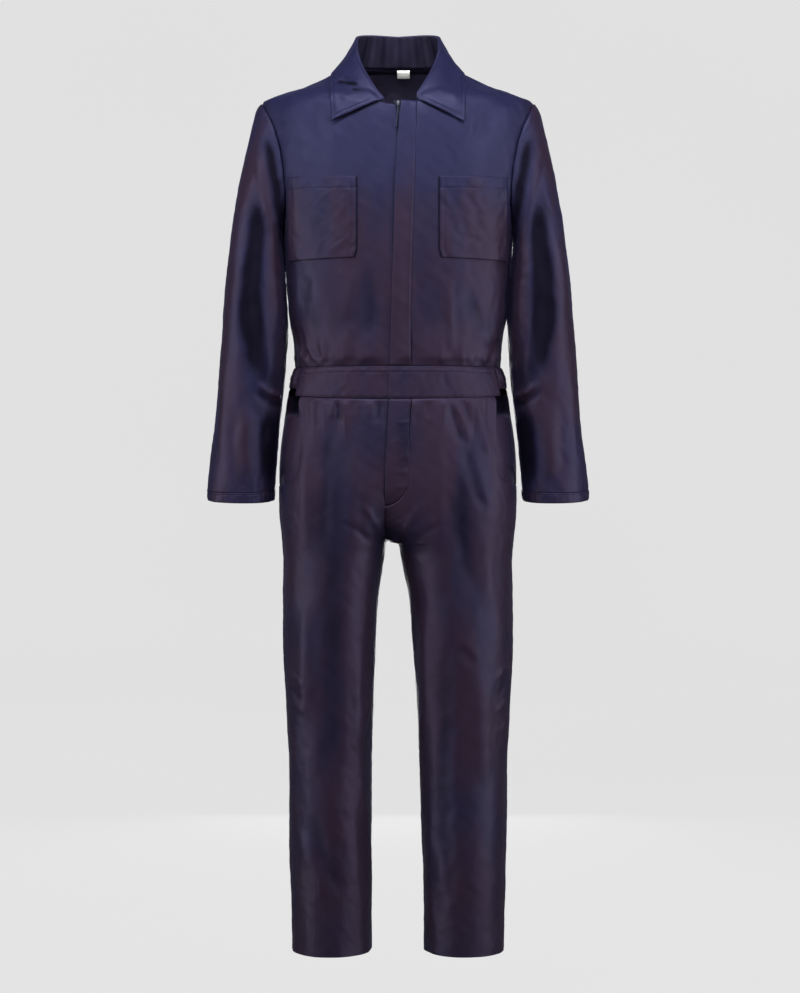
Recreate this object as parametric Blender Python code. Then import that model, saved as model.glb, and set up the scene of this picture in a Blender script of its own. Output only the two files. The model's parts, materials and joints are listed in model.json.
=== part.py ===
"""A long-sleeved boiler suit, hollow, as it hangs on an unseen wearer.

Metres, +Z up. The garment faces -Y, and the wearer's left is +X. The origin is midway between the
neck ends of the two shoulder seams. Every panel is a grid laid on one of three smooth base forms
(torso, hips with legs, sleeve) and closed to a wall of cloth.
"""

import math

import bmesh
import bpy
import numpy as np
from mathutils import Matrix, Vector

# ---------------------------------------------------------------- driving sizes
CLOTH = 0.0015  # thickness of one wall of twill
SEAM = 0.0003  # gap between two pieces that are sewn together
STEP = 0.0005  # step used to find a form's slope

NECK_HALF = 0.0815  # half the neck opening, side to side
NECK_FRONT = 0.107  # how far the neck opening reaches forward
NECK_BACK = 0.066  # how far it reaches back
NECK_CORNER = 2.6  # 2 is an oval, more is squarer: the front of the neck
NECK_LOW = -0.0771  # height of the neckline at the centre front
NECK_RISE = 0.0045  # how much higher the neckline is at the centre back
TOP = -0.0008  # highest row of the front panels

TIP = -0.064  # height of the shoulder tip
ARMPIT = -0.300
ARM_HOLE_DEPTH = 0.066  # half the armhole, front to back
ARM_HOLE_GAP = 0.0007  # from a body panel to the sleeve

WAIST_TOP = -0.520
WAIST_BOTTOM = -0.568
WAIST_DIP = 0.007  # how much lower the band's lower edge is at the centre front
ELASTIC_SEAM = 0.165  # where the elasticated band meets the front band, from the centre
ELASTIC_BOTTOM = -0.557
ELASTIC_WAVES = 30
ELASTIC_DEPTH = 0.0021

FLY_WIDTH = 0.036  # over which the band's lift at the fly fades away
FLY_TOP = -0.0708
FLY_LIFT = 0.0025  # how far the fly's free edge stands over the zip
FLY_LOWER_WIDTH = 0.040
FLY_CURVE_TOP = -0.715
FLY_END = -0.757

ZIP_TOP = -0.0695
ZIP_END = -0.700
ZIP_TAPE = (-0.008, 0.022)  # from the fly's free edge
ZIP_CHAIN = 0.0022  # half the chain's width
ZIP_EDGE = 0.0030  # from the chain's middle to the right front's edge

POCKET_IN = 0.0682
POCKET_OUT = 0.1850
POCKET_TOP = -0.2005
POCKET_BOTTOM = -0.3370
POCKET_LIFT = 0.0007

MOUTH_CURVE = -0.700  # where a side pocket's mouth starts to curve outward
MOUTH_END = -0.725
FACING_TOP = -0.550
FACING_RECESS = 0.0024  # from the trouser front's outer surface to the facing's
FACING_UNDER_BAND = 0.0046

CROTCH = -0.820
HEM = -1.5235

CUFF_START = 0.955  # along the sleeve, from 0 at the armhole to 1 at its end
CUFF_LIFT = 0.0010

LABEL_FROM = -0.0014
LABEL_TO = 0.0209
LABEL_BOTTOM = -0.0118
LABEL_TOP = 0.0022

TORSO = """
z        half    front   back    square
0        0.0815  0.0200  0.0660  0.000
-0.0040  0.0935  0.0300  0.0690  0.000
-0.0135  0.1135  0.0460  0.0770  0.000
-0.0260  0.1380  0.0645  0.0860  0.000
-0.0363  0.1610  0.0775  0.0925  0.005
-0.0467  0.1940  0.0885  0.0975  0.010
-0.0571  0.2200  0.0975  0.1015  0.012
-0.0640  0.2340  0.1017  0.1035  0.014
-0.0771  0.2345  0.1070  0.1075  0.016
-0.0986  0.2330  0.1120  0.1120  0.020
-0.1368  0.2270  0.1180  0.1170  0.026
-0.1820  0.2170  0.1225  0.1200  0.032
-0.2272  0.2075  0.1250  0.1205  0.035
-0.3000  0.1985  0.1245  0.1180  0.036
-0.3450  0.1950  0.1230  0.1155  0.036
-0.4030  0.1905  0.1200  0.1110  0.034
-0.4377  0.1860  0.1175  0.1085  0.032
-0.4723  0.1775  0.1150  0.1060  0.030
-0.4980  0.1740  0.1135  0.1045  0.030
-0.5240  0.1790  0.1130  0.1050  0.030
-0.5590  0.1880  0.1132  0.1085  0.032
-0.6110  0.1965  0.1150  0.1200  0.035
-0.6550  0.2025  0.1160  0.1310  0.036
-0.7000  0.2050  0.1160  0.1370  0.034
-0.7700  0.2045  0.1125  0.1340  0.028
-0.8200  0.2005  0.1080  0.1230  0.020
-0.8600  0.1980  0.1050  0.1160  0.016
-0.9400  0.1990  0.1010  0.1090  0.014
-1.0200  0.1975  0.0970  0.1030  0.014
-1.1090  0.1938  0.0915  0.0950  0.014
-1.2060  0.1892  0.0880  0.0915  0.014
-1.3500  0.1866  0.0865  0.0890  0.014
-1.5235  0.1834  0.0860  0.0870  0.014
"""

# the centre seam above the crotch, and the inner edges of the two legs below it
CENTRE_SEAM = """
z        x
-0.5600  -0.0158
-0.6450  -0.0205
-0.7000  -0.0222
-0.7850  -0.0222
-0.8200  -0.0180
"""
INSEAM = """
z        right    left
-0.8200  -0.0180  -0.0180
-0.8215  -0.0205  -0.0060
-0.8270  -0.0216  0.0012
-0.8425  -0.0227  0.0038
-0.8667  -0.0262  0.0090
-0.9150  -0.0330  0.0190
-0.9650  -0.0365  0.0245
-1.0370  -0.0400  0.0290
-1.1100  -0.0432  0.0330
-1.1820  -0.0450  0.0360
-1.3000  -0.0455  0.0398
-1.4000  -0.0452  0.0432
-1.5235  -0.0448  0.0450
"""

# how deep the centre seam lies, as a share of the hips' depth, and the middle of a leg
SEAT = """
z        front   back    middle
-0.5600  0.960   0.960   0.0600
-0.7000  0.950   0.940   0.0800
-0.7500  0.900   0.880   0.0880
-0.7800  0.810   0.780   0.0910
-0.8000  0.670   0.650   0.0925
-0.8100  0.520   0.510   0.0935
-0.8160  0.350   0.350   0.0940
-0.8200  0.000   0.000   0.0940
-0.8600  0.000   0.000   0.0960
-0.9400  0.000   0.000   0.1030
-1.0370  0.000   0.000   0.1090
-1.2000  0.000   0.000   0.1110
-1.5235  0.000   0.000   0.1145
"""

# the fly's free edge, over the zip, and the line where its other side is sewn down
FLY_EDGE = """
z        x        sewn
-0.0600  0.0062   0.0316
-0.0720  0.0050   0.0312
-0.1170  -0.0003  0.0302
-0.1510  -0.0022  0.0293
-0.2070  -0.0056  0.0277
-0.3000  -0.0080  0.0245
-0.4100  -0.0108  0.0215
-0.4930  -0.0130  0.0212
-0.5605  -0.0158  0.0220
-0.6450  -0.0205  0.0220
-0.7000  -0.0222  0.0218
-0.7850  -0.0222  0.0218
"""

# the zip's middle, from the fly's free edge
ZIP_LINE = """
z        offset
-0.0600  -0.0052
-0.0760  -0.0044
-0.0950  0.0002
-0.1250  0.0045
-0.1600  0.0060
-0.7900  0.0060
"""

# the front edge of a side pocket's mouth, from the centre
MOUTH = """
z        x
-0.5600  0.1650
-0.6200  0.1657
-0.6950  0.1695
-0.7250  0.1710
"""

# a sleeve's rings: where each meets the outer and the inner outline, its middle and its half depth
SLEEVE = """
t      out_x   out_z    in_x    in_z     mid_y    half_y  lean
0.000  0.2352  -0.0640  0.1992  -0.3000  0.0000   0.0660  0.000
0.060  0.2452  -0.0790  0.1990  -0.3030  0.0000   0.0665  0.000
0.120  0.2540  -0.1110  0.1986  -0.3090  0.0005   0.0670  0.000
0.190  0.2635  -0.1510  0.1978  -0.3200  0.0010   0.0675  0.000
0.270  0.2740  -0.2060  0.1950  -0.3380  -0.0020  0.0675  0.000
0.360  0.2845  -0.2720  0.1925  -0.3640  -0.0070  0.0670  0.000
0.450  0.2935  -0.3420  0.1905  -0.4000  -0.0100  0.0660  0.001
0.540  0.2997  -0.4100  0.1895  -0.4460  -0.0100  0.0650  0.001
0.630  0.3053  -0.4850  0.1925  -0.5000  -0.0080  0.0640  0.002
0.720  0.3112  -0.5560  0.1970  -0.5600  -0.0060  0.0625  0.002
0.810  0.3170  -0.6220  0.2035  -0.6220  -0.0050  0.0610  0.003
0.890  0.3240  -0.6800  0.2092  -0.6800  -0.0040  0.0600  0.004
0.955  0.3287  -0.7300  0.2135  -0.7300  -0.0055  0.0590  0.005
1.000  0.3282  -0.7475  0.2150  -0.7490  -0.0060  0.0585  0.005
"""

# the collar, by the angle from the centre back: where it rolls over, and its outer edge
COLLAR = """
turn  roll_x  roll_y   roll_z   edge_x  edge_y   edge_z
0     0.0000  0.0630   0.0602   0.0000  0.0860   -0.0090
30    0.0350  0.0545   0.0612   0.0540  0.0770   -0.0105
60    0.0585  0.0325   0.0582   0.0935  0.0460   -0.0110
90    0.0715  0.0000   0.0495   0.1112  0.0000   -0.0100
111   0.0710  -0.0400  0.0266   0.1150  -0.0340  -0.0190
122   0.0645  -0.0580  0.0014   0.1150  -0.0560  -0.0330
133   0.0555  -0.0735  -0.0187  0.1148  -0.0760  -0.0520
145   0.0435  -0.0880  -0.0398  0.1142  -0.0960  -0.0740
154   0.0327  -0.0965  -0.0565  0.1134  -0.1060  -0.0930
165   0.0222  -0.1030  -0.0675  0.1124  -0.1120  -0.1063
"""
COLLAR_WALL = 0.0018
COLLAR_FOLD = 0.0017  # radius of the roll
COLLAR_END = {1: 156.5, -1: 164.0}  # where the left and right front ends are
COLLAR_SAME = 130.0  # up to this turn the two sides are alike
COLLAR_LEFT_EDGE = 0.0325  # the left roll runs straight down at this distance from the centre
COLLAR_CLEAR = 0.0026  # from the body to the middle of the fall
COLLAR_SPRING = 0.0035  # how much more the front edge stands off

# the largest folds: a straight soft ridge (or trough) seen from the front, from end to end
FOLDS = """
form    x0      z0       x1      z1       width   depth
torso   -0.155  -0.430   -0.125  -0.520   0.018   0.0040
torso   0.157   -0.430   0.129   -0.520   0.018   0.0040
torso   -0.120  -0.345   -0.085  -0.470   0.022   -0.0035
torso   0.125   -0.350   0.150   -0.470   0.020   -0.0035
legs    -0.095  -0.585   -0.118  -0.720   0.016   -0.0040
legs    -0.030  -0.585   -0.060  -0.700   0.014   -0.0035
legs    0.080   -0.585   0.122   -0.700   0.014   -0.0050
legs    0.110   -0.590   0.150   -0.640   0.011   -0.0030
legs    -0.110  -0.700   -0.125  -0.980   0.024   -0.0040
legs    0.120   -0.680   0.120   -0.960   0.024   -0.0040
legs    -0.188  -1.060   -0.120  -1.120   0.014   0.0035
legs    -0.180  -1.140   -0.110  -1.200   0.014   0.0035
legs    0.188   -1.060   0.120   -1.110   0.014   0.0035
legs    0.182   -1.150   0.110   -1.210   0.014   0.0035
legs    -0.050  -1.130   -0.085  -1.300   0.012   -0.0040
legs    0.050   -1.380   0.075   -1.500   0.012   -0.0030
sleeve  0.2350  -0.560   0.2900  -0.590   0.010   0.0040
sleeve  0.2300  -0.540   0.2900  -0.545   0.012   -0.0040
sleeve  0.2450  -0.180   0.2350  -0.480   0.016   -0.0060
sleeve  0.2150  -0.330   0.2120  -0.520   0.012   0.0035
"""

BODICE_LEVELS = [-0.5198, -0.508, -0.485, -0.445, -0.400, -0.350]
ARM_TURNS = 8  # steps of the armhole from armpit to shoulder tip
NECK_LEVELS = [-0.056, -0.046, -0.036, -0.026, -0.017, -0.009, -0.004]
LEG_LEVELS = [
    -0.5688, -0.579, -0.603, -0.650, MOUTH_CURVE, FLY_CURVE_TOP, -0.735, -0.762, -0.785,
    -0.805, -0.8155, CROTCH, -0.8215, -0.827, -0.8425, -0.8667, -0.915, -0.985, -1.070,
    -1.170, -1.290, -1.410, HEM,
]

CLOTH_COLOUR = (0.032, 0.028, 0.055)
INSIDE_COLOUR = (0.020, 0.019, 0.034)


# ---------------------------------------------------------------- tables and smooth lines
def read_table(text):
    """Columns of a table by their names; a column of words stays a list."""
    lines = [line.split() for line in text.strip().splitlines()]
    columns = {}
    for k, name in enumerate(lines[0]):
        cells = [line[k] for line in lines[1:]]
        is_word = cells[0][0].isalpha()
        columns[name] = cells if is_word else np.array(cells, float)
    return columns


def glide(at, values, x):
    """Smooth line through the points (at, values) that never overshoots them."""
    if at[0] > at[-1]:
        at, values = at[::-1], values[::-1]
    step = np.diff(at)
    slope = np.diff(values) / step
    tangent = np.zeros(len(at))
    tangent[0], tangent[-1] = slope[0], slope[-1]
    before, after = slope[:-1], slope[1:]
    rising = before * after > 0
    near, far = 2 * step[1:] + step[:-1], step[1:] + 2 * step[:-1]
    safe_before = np.where(rising, before, 1.0)
    safe_after = np.where(rising, after, 1.0)
    mean = (near + far) / (near / safe_before + far / safe_after)
    tangent[1:-1] = np.where(rising, mean, 0.0)
    x = np.clip(x, at[0], at[-1])
    k = np.clip(np.searchsorted(at, x) - 1, 0, len(step) - 1)
    h = step[k]
    t = (x - at[k]) / h
    return (
        values[k] * (1 + 2 * t) * (1 - t) ** 2
        + values[k + 1] * t * t * (3 - 2 * t)
        + tangent[k] * h * t * (1 - t) ** 2
        + tangent[k + 1] * h * t * t * (t - 1)
    )


TABLES = {
    "torso": read_table(TORSO),
    "seam": read_table(CENTRE_SEAM),
    "inseam": read_table(INSEAM),
    "seat": read_table(SEAT),
    "fly": read_table(FLY_EDGE),
    "zip": read_table(ZIP_LINE),
    "mouth": read_table(MOUTH),
    "sleeve": read_table(SLEEVE),
    "collar": read_table(COLLAR),
    "folds": read_table(FOLDS),
}


def read(table, column, at, key="z"):
    """A column's smooth value at the given places."""
    return glide(TABLES[table][key], TABLES[table][column], np.asarray(at, float))


def ease(x):
    """0 below 0, 1 above 1, and a soft S between."""
    x = np.clip(x, 0.0, 1.0)
    return x * x * (3 - 2 * x)


def swell(s, square):
    """Sine or cosine of a turn round a section, squared off a little."""
    return (s * (1 + 3 * square) - 4 * square * s**3) / (1 - square)


def unswell(r, square):
    """The sine or cosine whose swell is r."""
    r = np.clip(r, -1.0, 1.0)
    s = np.array(r, float)
    for _ in range(8):
        rate = (1 + 3 * square - 12 * square * s * s) / (1 - square)
        s = s - (swell(s, square) - r) / np.maximum(rate, 0.2)
    return np.clip(s, -1.0, 1.0)


def solve(rises, low, high):
    """Where a rising function of a number crosses zero, between low and high."""
    for _ in range(36):
        middle = (low + high) / 2
        over = rises(middle) > 0
        high = np.where(over, middle, high)
        low = np.where(over, low, middle)
    return (low + high) / 2


def folds_of(form, x, z):
    """Height of the largest folds of a base form at points seen from the front."""
    table = TABLES["folds"]
    height = np.zeros(np.broadcast(x, z).shape)
    for k, name in enumerate(table["form"]):
        if name != form:
            continue
        start = np.array([table["x0"][k], table["z0"][k]])
        run = np.array([table["x1"][k], table["z1"][k]]) - start
        length = float(np.hypot(*run))
        run = run / length
        along = ((x - start[0]) * run[0] + (z - start[1]) * run[1]) / length
        across = (x - start[0]) * run[1] - (z - start[1]) * run[0]
        ends = ease(along / 0.3) * ease((1 - along) / 0.3)
        height = height + table["depth"][k] * ends * np.exp(-((across / table["width"][k]) ** 2))
    return height


# ---------------------------------------------------------------- base form: torso
def torso(turn, z):
    """Outer surface of the body. turn is 0 at the front, pi/2 at the wearer's left, pi at the back."""
    z = np.asarray(z, float)
    square = read("torso", "square", z)
    sine, cosine = np.sin(turn), np.cos(turn)
    depth = np.where(cosine > 0, read("torso", "front", z), read("torso", "back", z))
    x = read("torso", "half", z) * swell(sine, square)
    y = -depth * swell(cosine, square)
    return np.stack(np.broadcast_arrays(x, y, z), -1)


def turn_at_x(x, z):
    """The turn, on the front half, at which the torso has that x."""
    return np.arcsin(unswell(x / read("torso", "half", z), read("torso", "square", z)))


def turn_at_neck(z):
    """The turn at which the neckline crosses the torso at that height."""
    square = read("torso", "square", z)
    half, front = read("torso", "half", z), read("torso", "front", z)

    def outside(turn):
        x = half * swell(np.sin(turn), square) / NECK_HALF
        y = front * swell(np.cos(turn), square) / NECK_FRONT
        return np.abs(x) ** NECK_CORNER + np.abs(y) ** NECK_CORNER - 1

    low = np.zeros(np.shape(z))
    crossing = solve(outside, low, low + math.pi / 2)
    return np.where(np.asarray(z) <= NECK_LOW, 0.0, crossing)


def neck_rise(turn):
    """How far the back of the neckline stands above its ends."""
    return NECK_RISE * np.cos(turn) ** 2


def turn_at_armhole(z, column):
    """The turn from the front, or from the back, at which a panel ends at that height."""
    z = np.asarray(z, float)
    middle, reach = (TIP + ARMPIT) / 2, (TIP - ARMPIT) / 2
    inside = np.clip(1 - ((z - middle) / reach) ** 2, 0.0, 1.0)
    depth = read("torso", column, z)
    square = read("torso", "square", z)
    seam = SEAM / 2 / depth
    turn = np.arccos(unswell(ARM_HOLE_DEPTH * np.sqrt(inside) / depth, square))
    return np.where(inside > 0, np.minimum(turn, math.pi / 2 - seam), math.pi / 2 - seam)


def outward(form, a, z):
    """Points of a base form and the directions that point out of it."""
    points = form(a, z)
    along_a = form(a + STEP, z) - form(a - STEP, z)
    along_z = form(a, z + STEP) - form(a, z - STEP)
    normal = np.cross(along_a, along_z)
    normal /= np.maximum(np.linalg.norm(normal, axis=-1, keepdims=True), 1e-12)
    return points, normal


def raised(form, a, z, height):
    """Points of a base form moved out by a height."""
    points, normal = outward(form, a, z)
    return points + normal * np.asarray(height)[..., None]


# ---------------------------------------------------------------- base form: hips and legs
def hips(side, column):
    """Outer surface below the waist, for the front or back half of one side.

    side is 1 on the wearer's left and -1 on the right. The share runs from 0 at the centre seam or
    inseam to 1 at the side seam. High up it is the torso's own section. Lower down it is an oval
    about the leg's middle, whose inner half reaches past the centre seam and is cut off there.
    """
    facing = -1 if column == "front" else 1

    def form(share, z):
        z = np.asarray(z, float)
        square = read("torso", "square", z)
        half = read("torso", "half", z) * side
        depth = read("torso", column, z)
        below = read("inseam", "left" if side > 0 else "right", z)
        inner = np.where(z < CROTCH, below, read("seam", "x", z)) + side * SEAM / 2
        start = np.arcsin(unswell(inner / half, square))
        turn = start + (math.pi / 2 - start) * share
        high = (half * swell(np.sin(turn), square), depth * swell(np.cos(turn), square))
        past = np.arccos(unswell(read("seat", column, z), square))
        middle = side * read("seat", "middle", z)
        crest = 0.22 + 0.28 * ease((-0.68 - z) / 0.25)
        to_seam = -past * (1 - share / crest)
        turn = np.where(share < crest, to_seam, math.pi / 2 * (share - crest) / (1 - crest))
        reach = np.where(turn > 0, half - middle, (middle - inner) / swell(np.sin(past), square))
        low = (middle + reach * swell(np.sin(turn), square), depth * swell(np.cos(turn), square))
        blend = ease((-0.60 - z) / 0.15)
        x = high[0] + (low[0] - high[0]) * blend
        y = facing * (high[1] + (low[1] - high[1]) * blend)
        return np.stack(np.broadcast_arrays(x, y, z), -1)

    return form


def share_at_x(side, column, x, z):
    """The share at which the hips have that distance from the centre."""
    form = hips(side, column)
    low = np.zeros(np.shape(z)) - 0.15
    return solve(lambda share: side * (form(share, z)[..., 0] - x), low, low + 1.15)


def legs_raised(side, column, share, z, height):
    """Points on the hips or legs, moved out by a height."""
    form = hips(side, column)
    points, normal = outward(form, share, z)
    turned = side if column == "front" else -side
    return points + normal * turned * np.asarray(height)[..., None]


# ---------------------------------------------------------------- base form: sleeve
def body_side(y, z):
    """How far the left side of the body reaches at that depth and height."""
    depth = np.where(y < 0, read("torso", "front", z), read("torso", "back", z))
    square = read("torso", "square", z)
    cosine = unswell(np.abs(y) / depth, square)
    return read("torso", "half", z) * swell(np.sqrt(1 - cosine**2), square)


def armhole(turn):
    """The armhole's edge on the left body. turn is 0 at the armpit, pi/2 in front, pi at the tip."""
    middle, reach = (TIP + ARMPIT) / 2, (TIP - ARMPIT) / 2
    z = middle - reach * np.cos(turn)
    y = -ARM_HOLE_DEPTH * np.sin(turn)
    return np.stack(np.broadcast_arrays(body_side(y, z), y, z), -1)


def sleeve(turn, t):
    """Outer surface of the left sleeve. turn is 0 at the underarm and pi/2 in front."""
    turn, t = np.broadcast_arrays(np.asarray(turn, float), np.asarray(t, float))

    def key(column, at):
        return read("sleeve", column, at, "t")

    def ring(at):
        mid_x = (key("out_x", at) + key("in_x", at)) / 2
        mid_z = (key("out_z", at) + key("in_z", at)) / 2
        reach_x = (key("out_x", at) - key("in_x", at)) / 2
        reach_z = (key("out_z", at) - key("in_z", at)) / 2
        across, forward = swell(np.cos(turn), 0.02), swell(np.sin(turn), 0.02)
        x = mid_x - reach_x * across
        y = key("mid_y", at) - key("half_y", at) * forward
        z = mid_z - reach_z * across - key("lean", at) * forward
        return np.stack([x, y, z], -1)

    points = ring(t)
    sewn = armhole(turn) + np.array([ARM_HOLE_GAP, 0, 0]) - ring(np.zeros_like(t))
    hold = (1 - ease(t / 0.33)) ** 1.5
    points = points + sewn * hold[..., None]
    clear = body_side(points[..., 1], points[..., 2]) + ARM_HOLE_GAP + 0.0013 * ease(t / 0.05)
    short = clear - points[..., 0]
    pushed = 0.5 * (short + np.sqrt(short**2 + 0.001**2 * ease(t / 0.05)))
    return points + np.stack([pushed, 0 * short, 0 * short], -1)


# ---------------------------------------------------------------- making walls
def material(name, colour, roughness, metallic=0.0):
    """A Principled material."""
    made = bpy.data.materials.new(name)
    made.use_nodes = True
    shader = made.node_tree.nodes["Principled BSDF"]
    shader.inputs["Base Color"].default_value = (*colour, 1.0)
    shader.inputs["Roughness"].default_value = roughness
    shader.inputs["Metallic"].default_value = metallic
    return made


def finish(name, bm, colour=CLOTH_COLOUR, roughness=0.6, metallic=0.0, origin=(0, 0, 0)):
    """Turns a closed bmesh into a named object under the suit's empty."""
    bmesh.ops.triangulate(bm, faces=bm.faces)
    if bm.calc_volume(signed=True) < 0:
        bmesh.ops.reverse_faces(bm, faces=bm.faces)
    mesh = bpy.data.meshes.new(name)
    bm.to_mesh(mesh)
    bm.free()
    mesh.shade_smooth()
    made = bpy.data.objects.new(name, mesh)
    made.location = origin
    made.parent = bpy.data.objects["boiler_suit"]
    mesh.materials.append(material(name, colour, roughness, metallic))
    bpy.context.scene.collection.objects.link(made)
    return made


def wall(name, surface, across, along, ring=False, colour=CLOTH_COLOUR, open_cell=None):
    """A closed wall. surface(u, v, inner) gives the outer skin, or the inner skin where inner is 1.

    u runs 0 to 1 over the cells across, v over the cells along. A ring is joined where u meets 0.
    open_cell(column, row) is true for a cell that is left out.
    """
    bm = bmesh.new()
    bmesh.ops.create_grid(bm, x_segments=across, y_segments=along, size=0.5)
    if open_cell:
        centres = {face: face.calc_center_median() for face in bm.faces}
        cells = {face: (int((c.x + 0.5) * across), int((c.y + 0.5) * along)) for face, c in centres.items()}
        left_out = [face for face, cell in cells.items() if open_cell(*cell)]
        bmesh.ops.delete(bm, geom=left_out, context="FACES")
    where = {v: (v.co.x + 0.5, v.co.y + 0.5) for v in bm.verts}
    if ring:
        for v in bm.verts:
            turn = 2 * math.pi * where[v][0]
            v.co = (math.cos(turn), math.sin(turn), 2 * where[v][1])
        where = {tuple(round(c, 4) for c in v.co): where[v] for v in bm.verts}
        bmesh.ops.remove_doubles(bm, verts=bm.verts, dist=1e-5)
        where = {v: where[tuple(round(c, 4) for c in v.co)] for v in bm.verts}
    outer = list(bm.verts)
    pairs = {v: v.co.copy().freeze() for v in outer}
    skin = bmesh.ops.extrude_face_region(bm, geom=list(bm.faces), use_keep_orig=True)["geom"]
    inner = [v for v in skin if isinstance(v, bmesh.types.BMVert)]
    by_place = {tuple(co): where[v] for v, co in pairs.items()}
    inner_where = {v: by_place[tuple(v.co)] for v in inner}
    for group, places, side in ((outer, where, 0.0), (inner, inner_where, 1.0)):
        u = np.array([places[v][0] for v in group])
        w = np.array([places[v][1] for v in group])
        for v, point in zip(group, surface(u, w, side)):
            v.co = point
    return finish(name, bm, colour)


def rows(levels, v):
    """Heights for v in 0..1, so that each row of the grid lies on one of the levels."""
    return np.interp(v * (len(levels) - 1), np.arange(len(levels)), levels)


def armhole_levels():
    """Heights of the armhole's points, from the armpit up."""
    middle, reach = (TIP + ARMPIT) / 2, (TIP - ARMPIT) / 2
    turns = np.linspace(0, math.pi, ARM_TURNS + 1)
    return list(middle - reach * np.cos(turns))


def ripple(u, count, seed):
    """Uneven waves, a crest and a trough for each two columns, between -1 and 1."""
    uneven = 0.62 + 0.38 * np.sin(2.3 * seed + 5.1 * u * count + 1.7 * np.sin(3.1 * u * count + seed))
    return np.cos(math.pi * count * u) * uneven


# ---------------------------------------------------------------- bodice
def fly_edge(z):
    return read("fly", "x", z)


def zip_middle(z):
    return fly_edge(z) + read("zip", "offset", z)


def front_levels():
    arm = armhole_levels()
    return BODICE_LEVELS + arm[:-2] + [NECK_LOW] + arm[-2:] + NECK_LEVELS + [TOP]


def blouse(z):
    """How far the bodice hangs out over the waist seam."""
    return 0.0045 * ease((WAIST_TOP + 0.001 - z) / -0.016) * ease((-0.44 - z) / 0.06)


def gathered_in(z):
    """Strength of the bodice's gathers, which run up from the waist seam."""
    return 0.0022 * ease((z - WAIST_TOP) / 0.012) * (1 - ease((z - WAIST_TOP) / 0.075))


def front_panel(side, name, columns):
    """One front of the bodice, from its centre edge to the side seam, armhole and shoulder seam."""
    levels = front_levels()

    def surface(u, v, inner):
        z = rows(levels, v)
        if side < 0:
            edge = turn_at_x(zip_middle(z) - ZIP_EDGE, z)
            first = np.minimum(edge, -turn_at_neck(z))
        else:
            edge = turn_at_x(read("fly", "sewn", z) + SEAM, z)
            first = np.maximum(edge, turn_at_neck(z))
        last = side * turn_at_armhole(z, "front")
        turn = first + (last - first) * u
        points = torso(turn, z)
        height = folds_of("torso", points[..., 0], z) + blouse(z) * ease(u / 0.1)
        height = height + gathered_in(z) * ripple(u, columns, side) * ease(u * 6) * ease((1 - u) * 6)
        return raised(torso, turn, z, height - CLOTH * inner)

    return wall(name, surface, columns, len(levels) - 1)


def back_panel(columns=18):
    """The back of the bodice in one piece, from side seam to side seam and up to the neck."""
    levels = BODICE_LEVELS + armhole_levels() + NECK_LEVELS + [0.0]

    def surface(u, v, inner):
        z = rows(levels, v)
        reach = turn_at_armhole(z, "back")
        turn = math.pi + reach * (2 * u - 1)
        z = z + neck_rise(turn) * ease((z + 0.004) / 0.004)
        height = blouse(z) * ease(u * 8) * ease((1 - u) * 8)
        height = height + 1.2 * gathered_in(z) * ripple(u, columns, 2) * ease(u * 8) * ease((1 - u) * 8)
        return raised(torso, turn, z, height - CLOTH * inner)

    return wall("back", surface, columns, len(levels) - 1)


def fly_height(share):
    """The fly band's rise, from its free edge (0) to where it is sewn down (1)."""
    return FLY_LIFT * (1 - ease(share)) + 0.0002


def fly_upper():
    """The band over the zip on the bodice; its free edge is on the wearer's right."""
    levels = [WAIST_TOP + SEAM, -0.508, -0.485, -0.445, -0.400, -0.350, -0.300, -0.250, -0.200,
              -0.151, -0.117, -0.090, FLY_TOP]

    def surface(u, v, inner):
        z = rows(levels, v)
        turn = turn_at_x(fly_edge(z) + (read("fly", "sewn", z) - fly_edge(z)) * u, z)
        return raised(torso, turn, z, fly_height(u) + blouse(z) * ease(u / 0.9) - CLOTH * inner)

    return wall("fly_upper", surface, 3, len(levels) - 1)


def waistband(side, name):
    """The plain front band. The left one ends in the fly, with its edge over the zip."""
    def surface(u, v, inner):
        top = WAIST_TOP - SEAM
        level = WAIST_BOTTOM - WAIST_DIP + (top - WAIST_BOTTOM + WAIST_DIP) * v
        edge = fly_edge(level) if side > 0 else zip_middle(level) - ZIP_EDGE
        first = turn_at_x(edge, level)
        last = side * (turn_at_x(ELASTIC_SEAM, WAIST_TOP) - 0.001)
        turn = first + (last - first) * u
        low = WAIST_BOTTOM - WAIST_DIP * np.cos(turn) ** 2
        z = low + (top - low) * v
        x = torso(turn, z)[..., 0]
        height = fly_height((x - fly_edge(z)) / FLY_WIDTH) if side > 0 else 0.0002 + 0 * x
        return raised(torso, turn, z, height - CLOTH * inner)

    return wall(name, surface, 11, 3)


def elastic():
    """The gathered band round the sides and back."""
    columns = ELASTIC_WAVES * 4

    def surface(u, v, inner):
        start = turn_at_x(ELASTIC_SEAM, WAIST_TOP) + 0.001
        turn = start + (2 * math.pi - 2 * start) * u
        back = np.maximum(-np.cos(turn), 0)
        low = ELASTIC_BOTTOM - 0.008 * back
        top = WAIST_TOP - SEAM
        z = low + (top - low) * v
        uneven = 0.75 + 0.25 * np.sin(u * 61.0 + 2 * np.sin(u * 23.0))
        wave = ELASTIC_DEPTH * np.sin(2 * math.pi * ELASTIC_WAVES * u) * uneven
        ends = ease(u * 40) * ease((1 - u) * 40)
        belly = 0.0012 * np.sin(math.pi * v)
        gathers = wave * ends * (0.45 + 0.55 * np.sin(math.pi * v))
        return raised(torso, turn, z, gathers + belly - CLOTH * inner)

    return wall("waist_elastic", surface, columns, 2)


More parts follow.
